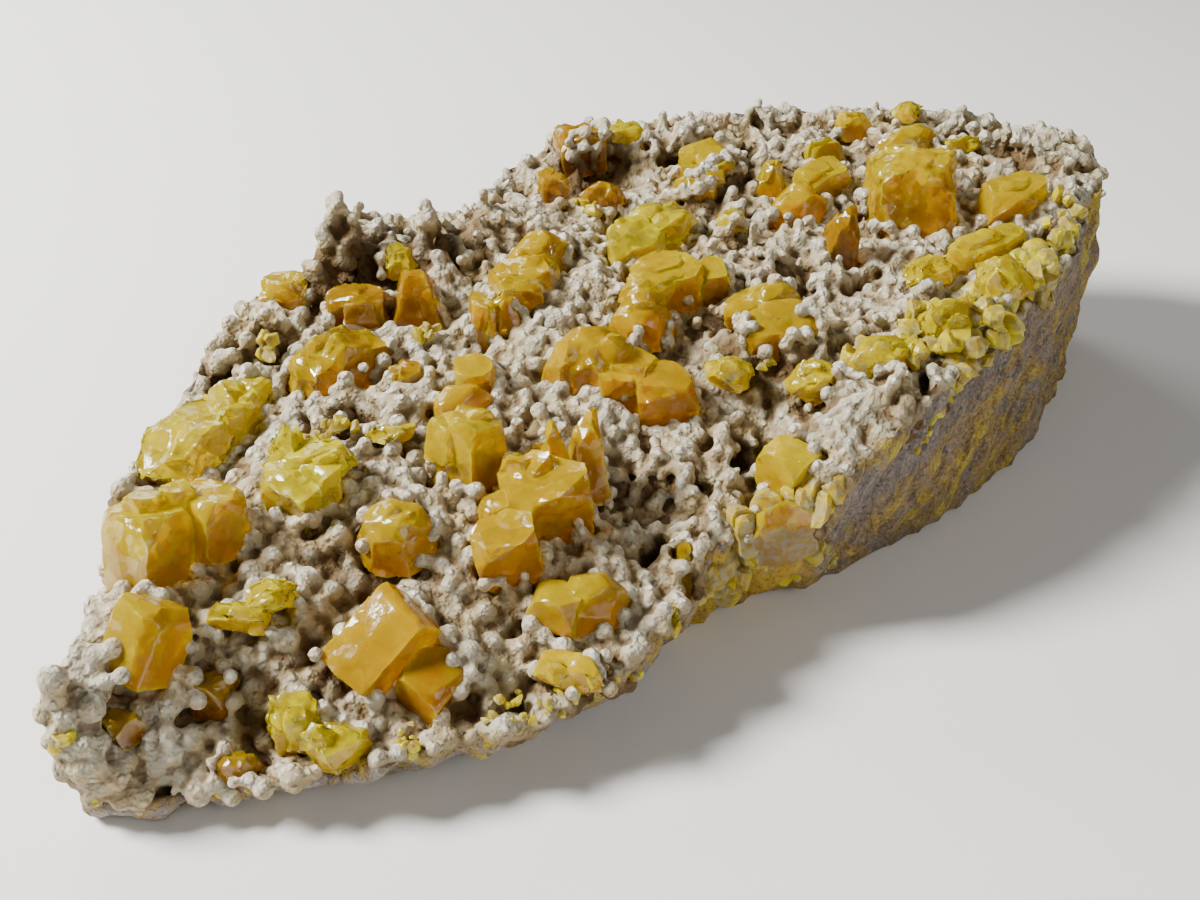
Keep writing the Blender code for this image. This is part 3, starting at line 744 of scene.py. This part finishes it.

# %% [markdown]
# Every vertex is told how deep it lies below the crests within 3 mm of it, and how far
# below the mean height round it. The finish turns warm and dark with both, as painted
# shade, except on the left tip, which is steep but open. The skin also gets its sugary grain.

# %% Nodules: depth and grain
CREST_REACH = 3
LEVEL_ROUNDS = 2
heights = height_map(np.concatenate([read(piece.data) for piece in crust]))
crests, level = widened(heights, CREST_REACH), averaged(heights, LEVEL_ROUNDS)
for piece in crust:
    points, normals = read(piece.data), read(piece.data, "normal")
    inland = 1.0 - 0.85 * step(-points[:, 0], 74 * MM, 88 * MM)
    below = [inland * (sampled(surface, points) - points[:, 2]) / MM for surface in (level, crests)]
    keep_values(piece.data, crevice=crevice_at(piece.data), up=normals[:, 2],
                under=below[0], depth=below[1])
    sugar = 0.08 * lattice_noise(points, 1.0, 31) + 0.10 * lattice_noise(points, 1.7, 32)
    write(piece.data, points + normals * (sugar * MM)[:, None])
    piece.data.shade_smooth()
    print(piece.name, 2 * len(piece.data.polygons), "triangles")

# %% [markdown]
# ## The crystals
#
# A sulfur crystal has flat faces, but none of them is perfect: smaller blocks of the same
# shape have grown into it almost parallel, its edges are chipped, and its faces have low
# terraces and waves. Each solid is copied and cut to more faces, its blocks are joined to
# it, and rows of planes in three directions cut it through. Those cuts don't change its
# shape. They give the faces enough corners to carry the relief.

# %% Crystal faces
FACE_STEP = 1.1
FLAT_ENOUGH = math.radians(1.0)
CHIPS = 6
CHIP_DEPTH = (0.2, 0.9)
FACET_DEPTH = (0.12, 0.6)
BLOCK_SIZE = (0.42, 0.80)
BLOCK_RISE = (0.10, 0.65)
BLOCK_TILT = math.radians(7.0)
LONG_EDGE = 2.0 * MM  # a shorter edge gets no narrow face
SHALLOW = 0.8 * MM  # nor does one where it would cut deeper
CRISP = math.radians(24.0)


def split(solid, normal, reach, clear):
    """Cut faces by a plane so far along its normal, and give what lies in the cut."""
    geometry = solid.verts[:] + solid.edges[:] + solid.faces[:]
    return bmesh.ops.bisect_plane(solid, geom=geometry, plane_co=normal * reach,
                                  plane_no=normal, clear_outer=clear, dist=MERGE)["geom_cut"]


def cut_face(solid, normal, reach):
    """Cut off what lies beyond a plane and close the cut with a flat face."""
    cut = split(solid, normal, reach, True)
    edges = [item for item in cut if isinstance(item, bmesh.types.BMEdge)]
    if edges:
        bmesh.ops.contextual_create(solid, geom=edges)


def support(solid, normal):
    """How far the solid reaches in a direction."""
    return max(vertex.co.dot(normal) for vertex in solid.verts)


def random_direction(rng, lowest=-1.0):
    """A direction whose upward part is no less than the lowest."""
    normal = Vector(rng.normal(0.0, 1.0, 3)).normalized()
    if normal.z < lowest:
        normal.z = -normal.z
    return normal


def small_faces(solid, rng):
    """Narrow faces along some of the edges, and small ones at the corners."""
    edges = []
    for edge in solid.edges:
        if len(edge.link_faces) == 2 and edge.is_convex and edge.calc_length() > LONG_EDGE:
            normal = sum((face.normal for face in edge.link_faces), Vector())
            edges.append((edge.verts[0].co.copy(), normal.normalized()))
    for place, normal in edges:
        normal = (normal + Vector(rng.normal(0.0, 0.12, 3))).normalized()
        reach = support(solid, normal)
        if rng.random() < 0.5 and reach - place.dot(normal) < SHALLOW:
            cut_face(solid, normal, reach - rng.uniform(*FACET_DEPTH) * MM)
    for _ in range(CHIPS):
        normal = random_direction(rng, 0.0)
        cut_face(solid, normal, support(solid, normal) - rng.uniform(*CHIP_DEPTH) * MM)


def block_of(whole, rng):
    """A smaller block of the same shape, almost parallel, that stands a little out of it."""
    block = whole.copy()
    middle = sum((vertex.co for vertex in block.verts), Vector()) / len(block.verts)
    tilt = Matrix.Rotation(rng.normal(0.0, BLOCK_TILT), 4, random_direction(rng))
    size = Matrix.Diagonal(Vector(rng.uniform(*BLOCK_SIZE, 3)).to_4d())
    about = Matrix.Translation(middle) @ tilt @ size @ Matrix.Translation(-middle)
    bmesh.ops.transform(block, matrix=about, verts=block.verts[:])
    outward = random_direction(rng, 0.1)
    shift = support(whole, outward) - support(block, outward) + rng.uniform(*BLOCK_RISE) * MM
    bmesh.ops.translate(block, vec=outward * shift, verts=block.verts[:])
    return block


def add_blocks(piece, blocks):
    """Join the blocks to the crystal."""
    helpers = []
    for block in blocks:
        helper = linked("block", bpy.data.meshes.new("block"))
        block.to_mesh(helper.data)
        block.free()
        join = piece.modifiers.new("Join", "BOOLEAN")
        join.operation = "UNION"
        join.solver = "EXACT"
        join.object = helper
        helpers.append(helper)
    apply_modifiers(piece)
    for helper in helpers:
        bpy.data.objects.remove(helper)


def sliced(mesh, spacing):
    """Cut a mesh by planes at even steps along X, Y and Z."""
    solid = bmesh.new()
    solid.from_mesh(mesh)
    for axis in range(3):
        normal = Vector([float(k == axis) for k in range(3)])
        values = [vertex.co[axis] for vertex in solid.verts]
        for level in np.arange(min(values) + spacing / 2, max(values), spacing):
            split(solid, normal, level, False)
    solid.to_mesh(mesh)
    solid.free()


def crystal_copy(node, blocks_wanted, rng):
    """The crystal with its blocks and small faces, and with finely divided sides."""
    piece = merged_copy(node, node + "_faces")
    solid = bmesh.new()
    solid.from_mesh(piece.data)
    bmesh.ops.dissolve_limit(solid, angle_limit=FLAT_ENOUGH, verts=solid.verts[:],
                             edges=solid.edges[:])
    blocks = [block_of(solid, rng) for _ in range(blocks_wanted)]
    for block in [solid] + blocks:
        small_faces(block, rng)
    solid.to_mesh(piece.data)
    solid.free()
    add_blocks(piece, blocks)
    sliced(piece.data, FACE_STEP * MM)
    return piece


def edge_nearness(mesh):
    """1 on an edge between faces, 0 well inside a face. On an edge the normals of the faces
    differ, so their mean is shorter than 1."""
    loops = fetched(mesh.loops, "vertex_index", 1)[:, 0]
    normals = fetched(mesh.polygons, "normal", 3, np.float32)
    sides = fetched(mesh.polygons, "loop_total", 1)[:, 0]
    total = np.zeros((len(mesh.vertices), 3))
    count = np.zeros(len(mesh.vertices))
    np.add.at(total, loops, normals.repeat(sides, axis=0))
    np.add.at(count, loops, 1.0)
    return step(1.0 - np.linalg.norm(total, axis=1) / np.maximum(count, 1.0), 0.01, 0.2)


def grown_faces(piece, terrace, wave, wear, seed):
    """Move the faces in and out: terraces are steps of noise, waves are noise itself, and
    edges are chipped where a third noise is high. Keeps what the finish reads."""
    mesh = piece.data
    points, normals = read(mesh), read(mesh, "normal")
    edge = edge_nearness(mesh)
    layers = step(lattice_noise(points, 3.6, seed), -0.08, 0.08) - 1.0
    layers += step(lattice_noise(points, 2.1, seed + 1), 0.1, 0.25) - 1.0
    waves = lattice_noise(points, 2.2, seed + 2) + 0.5 * lattice_noise(points, 1.1, seed + 3)
    chipped = edge * step(lattice_noise(points, 1.4, seed + 4), -0.1, 0.6)
    relief = terrace * layers + wave * waves - wear * chipped
    ends = ends_of_edges(mesh)
    for _ in range(2):
        edge = 0.5 * edge + 0.5 * neighbour_mean(edge, ends)
    write(mesh, points + normals * (relief * MM)[:, None])
    mesh.shade_smooth()
    mesh.set_sharp_from_angle(angle=CRISP)
    height = points[:, 2] - points[:, 2].min()
    keep_values(mesh, edge=edge, facing=normals @ np.array(WINDOW_WAY),
                low=1.0 - height / height.max())


ROUGH = ("left_star", "left_patch", "corner_lumps", "front_rhomb", "edge_lemon", "right_lemon",
         "right_lump", "edge_strips", "edge_rough", "right_fan", "far_olive", "far_patch",
         "pale_rough", "left_back_mass", "lemon_strip", "back_rough", "great_block")
PLAIN = ("left_block", "front_tablet", "side_crystal", "front_gem", "cream_cap")
KINDS = {  # blocks, then terraces, waves and wear in mm, then how broken
    "rough": (3, (0.30, 0.30, 0.45), 1.0),
    "even": (2, (0.12, 0.10, 0.35), 1.0),
    "plain": (0, (0.08, 0.05, 0.25), 0.35),
}
USUAL_WARMTH = 0.3
WARMTH = {"left_twins": 0.0, "bright_block": 0.0, "great_block": 0.0, "side_crystal": 0.1,
          "left_star": 0.0, "lemon_row": 0.0, "streaked_gem": 0.5, "right_gem": 0.5,
          "cream_cap": 0.6, "back_row": 0.6, "middle_group": 0.8, "centre_gem": 0.9,
          "front_tablet": 0.9, "front_rhomb": 1.0}
BROKEN = {"great_block": 1.9, "back_rough": 1.6, "bright_block": 1.4, "back_row": 1.4,
          "middle_group": 1.3, "striated_group": 1.4, "centre_gem": 1.3}
# The way to the window light. Each face keeps how much it looks to it, for the painted lit tone and
# the painted shade of the sulfur.
WINDOW_WAY = Vector((-0.60, 0.35, 0.72)).normalized()
crystals = {}
for number, node in enumerate(CRYSTALS):
    name = node.replace("sulfur_", "")
    kind = "rough" if name in ROUGH else "plain" if name in PLAIN else "even"
    blocks, relief, broken = KINDS[kind]
    piece = crystal_copy(node, blocks, np.random.default_rng(500 + number))
    grown_faces(piece, *relief, 100 + 5 * number)
    keep_values(piece.data, warm=WARMTH.get(name, USUAL_WARMTH), broken=BROKEN.get(name, broken))
    crystals[node] = piece
total = sum(len(face.vertices) - 2 for piece in crystals.values() for face in piece.data.polygons)
print("crystals:", len(crystals), "pieces,", total, "triangles")

# %% [markdown]
# ## Broken sulfur
#
# Broken lumps of sulfur stand along the right-hand rim, at the foot of the crystal on the
# side, in small places along the front, and as chips between the crystals. Each lump is a
# ball whose corners are pushed back to a few random planes, which gives it flat faces and
# ragged edges. It lies on the slab, at random round its cluster's middle.

# %% Broken sulfur
RUBBLE = {  # x, y, z, spread and half width of a lump in mm, and number of lumps
    "rim": ("sulfur_lemon", (
        (20, -35, 33, 2.5, 1.8, 9), (26, -38, 34, 3.2, 2.0, 18), (32, -40, 34, 3.6, 2.2, 24),
        (39, -41, 33.5, 3.6, 2.2, 24), (45, -39, 33.5, 3.2, 2.1, 18),
        (52, -39, 34.5, 3.2, 2.2, 20), (58, -38, 36, 3.0, 2.0, 16), (65, -37, 37, 3.0, 1.7, 12),
        (73, -34, 39, 2.6, 1.4, 8), (23, -46, 26, 1.6, 1.3, 8), (20, -46.5, 22.5, 1.6, 1.1, 6))),
    "rim_core": ("sulfur_honey", (
        (31, -43.5, 31, 2.8, 2.2, 12), (26.5, -45, 29, 2.0, 1.8, 9), (44, -42, 31, 2.4, 1.8, 9),
        (56, -41, 33, 2.4, 1.9, 9))),
    "chips": ("sulfur_lemon", (
        (17, 24.5, 37, 2.2, 1.3, 9), (-44.5, 28, 32.5, 1.6, 1.4, 7),
        (-25, 14.5, 32.8, 1.5, 1.2, 6), (10, -24, 30.4, 1.2, 1.2, 5), (-53, 5, 30.3, 1.4, 1.3, 7),
        (-48, 4.5, 30, 1.5, 1.3, 7))),
    "foot": ("sulfur_honey", (
        (-3, -42.5, 21, 2.6, 2.6, 12), (-6, -41, 15, 3.0, 2.7, 16), (-11, -39.5, 17, 3.0, 2.4, 13),
        (-14, -39.5, 11, 3.0, 2.2, 12), (-1, -43, 12, 2.6, 2.1, 9), (-20, -39, 13, 2.2, 1.7, 8))),
    "ledge": ("sulfur_lemon", (
        (-2, -43, 5, 2.4, 1.3, 10), (3, -44, 7, 2.2, 1.2, 8), (-60, -31, 9.5, 2.6, 0.9, 12),
        (-56, -40, 10.5, 3.2, 0.8, 16), (-49, -43, 12, 3.0, 0.8, 14), (-66, -35, 10, 2.6, 0.8, 10),
        (-84, -20, 5, 2.4, 0.8, 10), (-100.5, -10, 15, 1.6, 0.9, 6), (-99, -12, 6, 1.4, 0.8, 5),
        (-37, -44, 13, 3.0, 0.9, 14))),
}
LUMP_BALL, LUMP_FACES = ball_grid(6, 9)
LUMP_CUTS = 11
LUMP_STRETCH = (0.55, 1.45)
CUT_DEPTH = (0.35, 0.80)  # where a plane cuts, in sizes of the lump
CLOSENESS = 1.6  # the spread is so many standard deviations
LUMP_RISE = 0.15
OVER_BASE = 1.3  # a lump's middle is at least so many sizes over the base
slab = BVHTree.FromObject(frame["nodes"]["matrix"], bpy.context.evaluated_depsgraph_get())


def lumps(middles, sizes, rng):
    """Corners of one faceted lump round each middle."""
    stretch = rng.uniform(*LUMP_STRETCH, (len(middles), 1, 3))
    corners = LUMP_BALL[None] * stretch * sizes[:, None, None]
    for _ in range(LUMP_CUTS):
        way = rng.normal(0.0, 1.0, (len(middles), 1, 3))
        way /= np.linalg.norm(way, axis=2)[..., None]
        cut = rng.uniform(*CUT_DEPTH, len(middles)) * sizes
        beyond = (corners * way).sum(axis=2) - cut[:, None]
        corners -= np.maximum(beyond, 0.0)[..., None] * way
    return corners


rubble = {}
for name, (slot, clusters) in RUBBLE.items():
    rng = np.random.default_rng(len(name))
    places, sizes = [], []
    for x, y, z, spread, half, count in clusters:
        for offset in rng.normal(0.0, spread / CLOSENESS, (count, 3)) + (x, y, z):
            near, normal, _, _ = slab.find_nearest(Vector(offset) * MM)
            places.append(near + LUMP_RISE * half * MM * normal)
            sizes.append(half * rng.uniform(*LUMP_STRETCH) * MM)
    places, sizes = np.array(places), np.array(sizes)
    places[:, 2] = np.maximum(places[:, 2], OVER_BASE * sizes)
    piece = many(name, lumps(places, sizes, rng), LUMP_FACES, places)
    points, normals = read(piece.data), read(piece.data, "normal")
    keep_values(piece.data, edge=edge_nearness(piece.data), facing=normals @ np.array(WINDOW_WAY),
                low=0.3, warm=0.2, broken=1.0)
    write(piece.data, points + normals * (0.2 * MM * lattice_noise(points, 1.2, 61))[:, None])
    piece.data.shade_smooth()
    piece.data.set_sharp_from_angle(angle=CRISP)
    rubble[piece] = slot
    print(name, len(places), "lumps,", len(piece.data.polygons), "triangles")

# %% [markdown]
# ## Finishes
#
# The nodules are sugary: pale grains over tan ones, and brown and dark as painted shade low
# down, in creases, in hollows and between the grains. A flat colour would look like clay. Here
# noise makes the grains, and the numbers kept at the vertices say where it is high, hollow or
# low. The pale grains are real, and are painted paler on skin that faces up, as painted light.

# %% Crust
COOL, TAN = (0.54, 0.51, 0.385), (0.56, 0.45, 0.26)
LOW_SHADE, GAP = (0.28, 0.195, 0.08), (0.20, 0.145, 0.07)
PALE, CREASED, PIT = (0.94, 0.935, 0.86), (0.11, 0.06, 0.018), (0.075, 0.036, 0.006)


def crust_finish():
    """Sugary nodules: pale and cool on the crests, partly as painted light; warm tan below and
    brown deep down, as painted shade.
    """
    paint = Paint("crust")
    depth = paint.attribute("depth")
    crease = paint.attribute("crevice").ramp(-0.1, 0.9)
    patch = paint.noise(7.0, 3.0, 0.6)
    under = paint.attribute("under")
    warm = (patch + 0.7 * paint.noise(2.4, 1.0)).ramp(0.72, 1.0)
    lower = (under + 1.5 * (patch - 0.5)).ramp(0.0, 2.2)
    grains, bead = paint.beads(0.55, 1.0, 0.45), paint.beads(1.5, 0.35, 0.38)
    # Pale sugar on the crests, laid on more where the skin faces up and stands high: real grains,
    # and partly painted light.
    sugar_and_top_light = paint.attribute("up").ramp(-0.1, 0.8) * (1.0 - (under + 0.15 * depth).ramp(-0.6, 1.0))
    sugar_and_top_light = sugar_and_top_light * (0.35 + 0.65 * bead) * (0.4 + 0.6 * grains)
    # Painted shade: the low tone where the skin lies below the mean height round it, the gap tone
    # between grains, the creased tone in creases and the pit tone deep below the crests.
    colour = paint.layered(
        paint.blend(warm, COOL, TAN), (lower * 0.8, LOW_SHADE), ((1.0 - bead) * 0.45, GAP),
        (sugar_and_top_light, PALE), (crease * 0.68, CREASED), (depth.ramp(3.0, 6.5) * 0.85, PIT))
    normal = paint.bump(bead, 0.45, 0.9)
    normal = paint.bump(grains, 0.20, 0.7, normal)
    normal = paint.bump(paint.noise(0.3, 2.0, 0.6), 0.05, 0.7, normal)
    sparkle = paint.noise(0.35, 1.0).ramp(0.70, 0.74)
    return paint.finish(Base_Color=colour, Roughness=0.85 - 0.5 * sparkle, Normal=normal,
                        Specular_IOR_Level=0.3, Subsurface_Weight=0.15,
                        Subsurface_Scale=0.6 * MM)


# %% [markdown]
# The broken sides show grey-violet rock with steep seams of ochre and raw sulfur. Noise that
# is stretched along a slant gives the fibres and the seams, and grain covers both. The left,
# one slanting band and the foot under the side crystal have tones of their own.

# %% Rock
DARK, VIOLET, LEFT_GREY = (0.10, 0.078, 0.066), (0.30, 0.245, 0.205), (0.36, 0.32, 0.27)
BROWN, TAWNY, RAW_SULFUR = (0.17, 0.10, 0.025), (0.44, 0.29, 0.07), (0.58, 0.44, 0.03)
FOOT, LIGHT_GRAIN, DARK_GRAIN = (0.56, 0.35, 0.02), (0.50, 0.41, 0.31), (0.045, 0.028, 0.013)
# The tones under the crust show only in the gaps between nodules: painted shade.
BED = ((0.05, 0.024, 0.005), (0.17, 0.10, 0.035))


def rock_finish():
    """Brown under the crust, as painted shade of the gaps where it shows, and the seamed and grainy
    break on the sides.
    """
    paint = Paint("rock")
    crusted = paint.attribute("crusted")
    fibres = paint.noise(1.5, 5.0, 0.75, paint.stretched((0, 33, 0), (1.0, 1.0, 3.0)), 0.5)
    veins = paint.noise(6.0, 5.0, 0.65, paint.stretched((0, 38, 0), (1.0, 1.0, 2.8)), 0.8)
    blotch = paint.noise(3.0, 5.0, 0.75)
    grain = paint.noise(0.55, 3.0, 0.75)
    place = paint.node("ShaderNodeSeparateXYZ", {}, {"Vector": paint.place})
    height = paint.node("ShaderNodeSeparateXYZ", {}, {"Vector": paint.place}, "Z")
    left = 1.0 - place.ramp(-60.0 * MM, -10.0 * MM)
    line = height - 0.38 * place + 10.0 * MM * veins
    band = line.ramp(12.0 * MM, 19.0 * MM) * (1.0 - line.ramp(24.0 * MM, 30.0 * MM))
    fibre = fibres.ramp(0.3, 0.7)
    grey = paint.layered(paint.blend(fibre, DARK, VIOLET), (left * 0.8, LEFT_GREY))
    vein = (0.6 * veins + 0.6 * blotch - 0.04 * left - 0.14 * band).ramp(0.50, 0.66)
    yellow = (veins + 0.6 * blotch + 0.2 * fibres - 0.1 * band).ramp(0.96, 1.08)
    foot = place.ramp(-27.0 * MM, -17.0 * MM) * (1.0 - place.ramp(-4.0 * MM, 4.0 * MM))
    foot = foot * (0.5 * veins + 0.8 * blotch).ramp(0.50, 0.66)
    under = paint.blend(paint.noise(1.5, 2.0).ramp(0.3, 0.7), *BED)
    colour = paint.layered(
        grey, (vein, paint.blend(fibre, BROWN, TAWNY)), (yellow * 0.8, RAW_SULFUR),
        (foot, FOOT), (grain.ramp(0.53, 0.70) * 0.7, LIGHT_GRAIN),
        ((1.0 - grain).ramp(0.53, 0.68) * 0.8, DARK_GRAIN), (crusted, under))
    normal = paint.bump(grain, 0.5, 1.0)
    normal = paint.bump(fibres, 0.9, 0.8, normal)
    return paint.finish(Base_Color=colour, Roughness=0.75, Normal=normal)


# %% [markdown]
# Sulfur is clear inside and shines like resin. Glass alone would look empty, and paint alone
# like wax, so light partly goes through it and partly scatters just below its faces. Low
# facets, each with a slope of its own, give the glints of a broken face.

# %% Sulfur
WARM_TINT = (1.0, 0.86, 1.0)
EARTH = ((0.44, 0.39, 0.25), (0.40, 0.26, 0.04))


def sulfur_finish(name, tones, lit_face_bias, dirt, shatter, gloss, clear, stained_foot=0.0):
    """Resinous sulfur: a deep and a body tone in clouds and facets, with the deep tone also as
    painted shade low down and on faces turned from the light, a painted glow along the edges,
    and a darker lit tone painted where a face looks to the light. Patches of dirt lie on it."""
    deep, body, bright, lit = tones
    paint = Paint(name)
    edge, low = paint.attribute("edge"), paint.attribute("low")
    slope, chance = paint.facets(3.2)
    fine_slope, fine_chance = paint.facets(1.3)
    clouds = 0.62 * paint.noise(4.5, 3.0, 0.55, None, 0.8) + 0.22 * chance + 0.16 * fine_chance
    facing = paint.attribute("facing").ramp(0.25, 0.85)
    # The deep tone follows clouds in the sulfur, and is painted shade low on the crystal and on
    # faces turned from the window.
    depth = (0.8 * clouds + 0.45 * low + 0.16 * (1 - facing)).ramp(0.45, 0.87)
    # Painted light: faces that look to the window take the lit tone, a darker copy of the body
    # tone, in noisy patches.
    painted_lit_faces = facing * (paint.noise(3.0, 4.0, 0.6) + lit_face_bias).ramp(0.30, 0.60)
    # Painted light: the bright tone along edges stands in for light that shines through thin
    # sulfur, and is weaker on faces toward the window.
    edge_glow = (edge + clouds - 0.5).ramp(0.1, 0.8) * (0.9 - 0.5 * facing)
    colour = paint.layered(body, (depth, deep), (painted_lit_faces * 0.85, lit), (edge_glow, bright))
    colour = paint.blend(paint.attribute("warm"), colour, WARM_TINT, "MULTIPLY")
    foot = stained_foot * low.ramp(0.40, 0.62)
    soil = (paint.noise(3.0, 4.0, 0.7) + dirt + foot).ramp(0.44, 0.66)
    earth = paint.blend(paint.noise(1.1, 2.0).ramp(0.42, 0.58), *EARTH)
    colour = paint.blend(soil * 0.85, colour, earth)
    lines = paint.noise(0.5, 2.0, 0.5, paint.stretched((20, 10, 35), (1.0, 1.0, 9.0)))
    broken = paint.attribute("broken")
    normal = paint.bump(slope * broken, shatter, 1.0)
    normal = paint.bump(fine_slope * broken, 0.3 * shatter, 1.0, normal)
    normal = paint.bump(lines, 0.06, 0.6, normal)
    normal = paint.bump(paint.noise(0.7, 4.0, 0.65), 0.08, 0.5, normal)
    roughness = gloss + 0.10 * paint.noise(1.2, 2.0) + 0.4 * soil
    return paint.finish(Base_Color=colour, Roughness=roughness, Normal=normal, IOR=1.6,
                        Specular_IOR_Level=0.32,
                        Subsurface_Weight=0.4, Subsurface_Radius=(1.0, 0.75, 0.06),
                        Subsurface_Scale=1.6 * MM, Transmission_Weight=clear)


# Deep, body, bright and lit tones. The lit tone is a darker copy of the body tone, painted on
# faces that look to the window.
LEMON = ((0.84, 0.56, 0.0), (0.96, 0.82, 0.0), (0.95, 0.88, 0.0), (0.61, 0.50, 0.0))
HONEY = ((0.76, 0.36, 0.0), (0.98, 0.76, 0.0), (0.99, 0.88, 0.0), (0.76, 0.555, 0.0))
AMBER = ((0.46, 0.16, 0.0), (0.88, 0.51, 0.0), (0.95, 0.75, 0.0), (0.62, 0.36, 0.0))
OCHRE = ((0.45, 0.26, 0.0), (0.74, 0.54, 0.0), (0.86, 0.72, 0.0), (0.50, 0.38, 0.0))

# Lit bias, which gives more of the painted lit tone on faces toward the window, then dirt,
# shatter in mm, gloss and clear
FINISHES = {
    "sulfur_honey": sulfur_finish("honey_sulfur", HONEY, 0.0, -0.2, 0.9, 0.07, 0.62),
    "sulfur_lemon": sulfur_finish("lemon_sulfur", LEMON, 0.06, -0.1, 1.6, 0.13, 0.50),
    "sulfur_amber": sulfur_finish("amber_sulfur", AMBER, -0.08, -0.2, 0.8, 0.04, 0.72),
}
CRUMBLED = {
    "sulfur_honey": sulfur_finish("ochre_crumbs", OCHRE, 0.06, 0.10, 1.0, 0.30, 0.30),
    "sulfur_lemon": sulfur_finish("lemon_crumbs", LEMON, 0.06, 0.05, 1.0, 0.26, 0.36),
}
STAINED = sulfur_finish("stained_sulfur", HONEY, 0.0, -0.2, 0.9, 0.12, 0.55, 0.42)

# %% [markdown]
# ## Dress the pieces
#
# Each piece gets its finish and its body, and the rock and the crystals take the place of their
# solids. The record says which sulfur each crystal is.

# %% Dress the pieces
SLOTS = {part["node"]: part["material_slot"] for part in frame["record"]["subparts"]}


def dress(piece, finish, slot, *nodes):
    """Give a piece its only finish and the solids that it replaces. Its slot is not used."""
    piece.data.materials.clear()
    piece.data.materials.append(finish)
    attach(piece, "root")
    if nodes:
        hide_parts(*nodes)


dress(rock, rock_finish(), "matrix", "matrix")
crust_material = crust_finish()
for piece in crust:
    dress(piece, crust_material, "matrix")
for piece, slot in rubble.items():
    dress(piece, CRUMBLED[slot], slot)
for node, piece in crystals.items():
    slot = SLOTS[node]
    finish = STAINED if node == "sulfur_side_crystal" else FINISHES[slot]
    dress(piece, finish, slot, node)

# %% [markdown]
# ## Floor and sizes
#
# A pale floor catches the shadow. It belongs to the stage and not to the specimen. Last, the
# boxes of the solids and of the finished pieces are printed.

# %% Floor
FLOOR_REACH = 3.0
FLOOR_TONE = (0.92, 0.92, 0.92)
floor = linked("floor", bpy.data.meshes.new("floor"))
square = [(x * FLOOR_REACH, y * FLOOR_REACH, 0.0) for x, y in ((-1, -1), (1, -1), (1, 1), (-1, 1))]
floor.data.from_pydata(square, [], [(0, 1, 2, 3)])
floor.data.materials.append(Paint("floor").finish(Base_Color=FLOOR_TONE, Roughness=0.9))
floor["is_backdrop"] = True

# %% Sizes
boxes = {"cad": [list(corner) for corner in CAD_BOX],
         "visual": [list(corner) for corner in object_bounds()]}
for low_high in zip(*boxes.values()):
    print("corner in mm, CAD and visual:", np.round(np.array(low_high) / MM, 1).tolist())
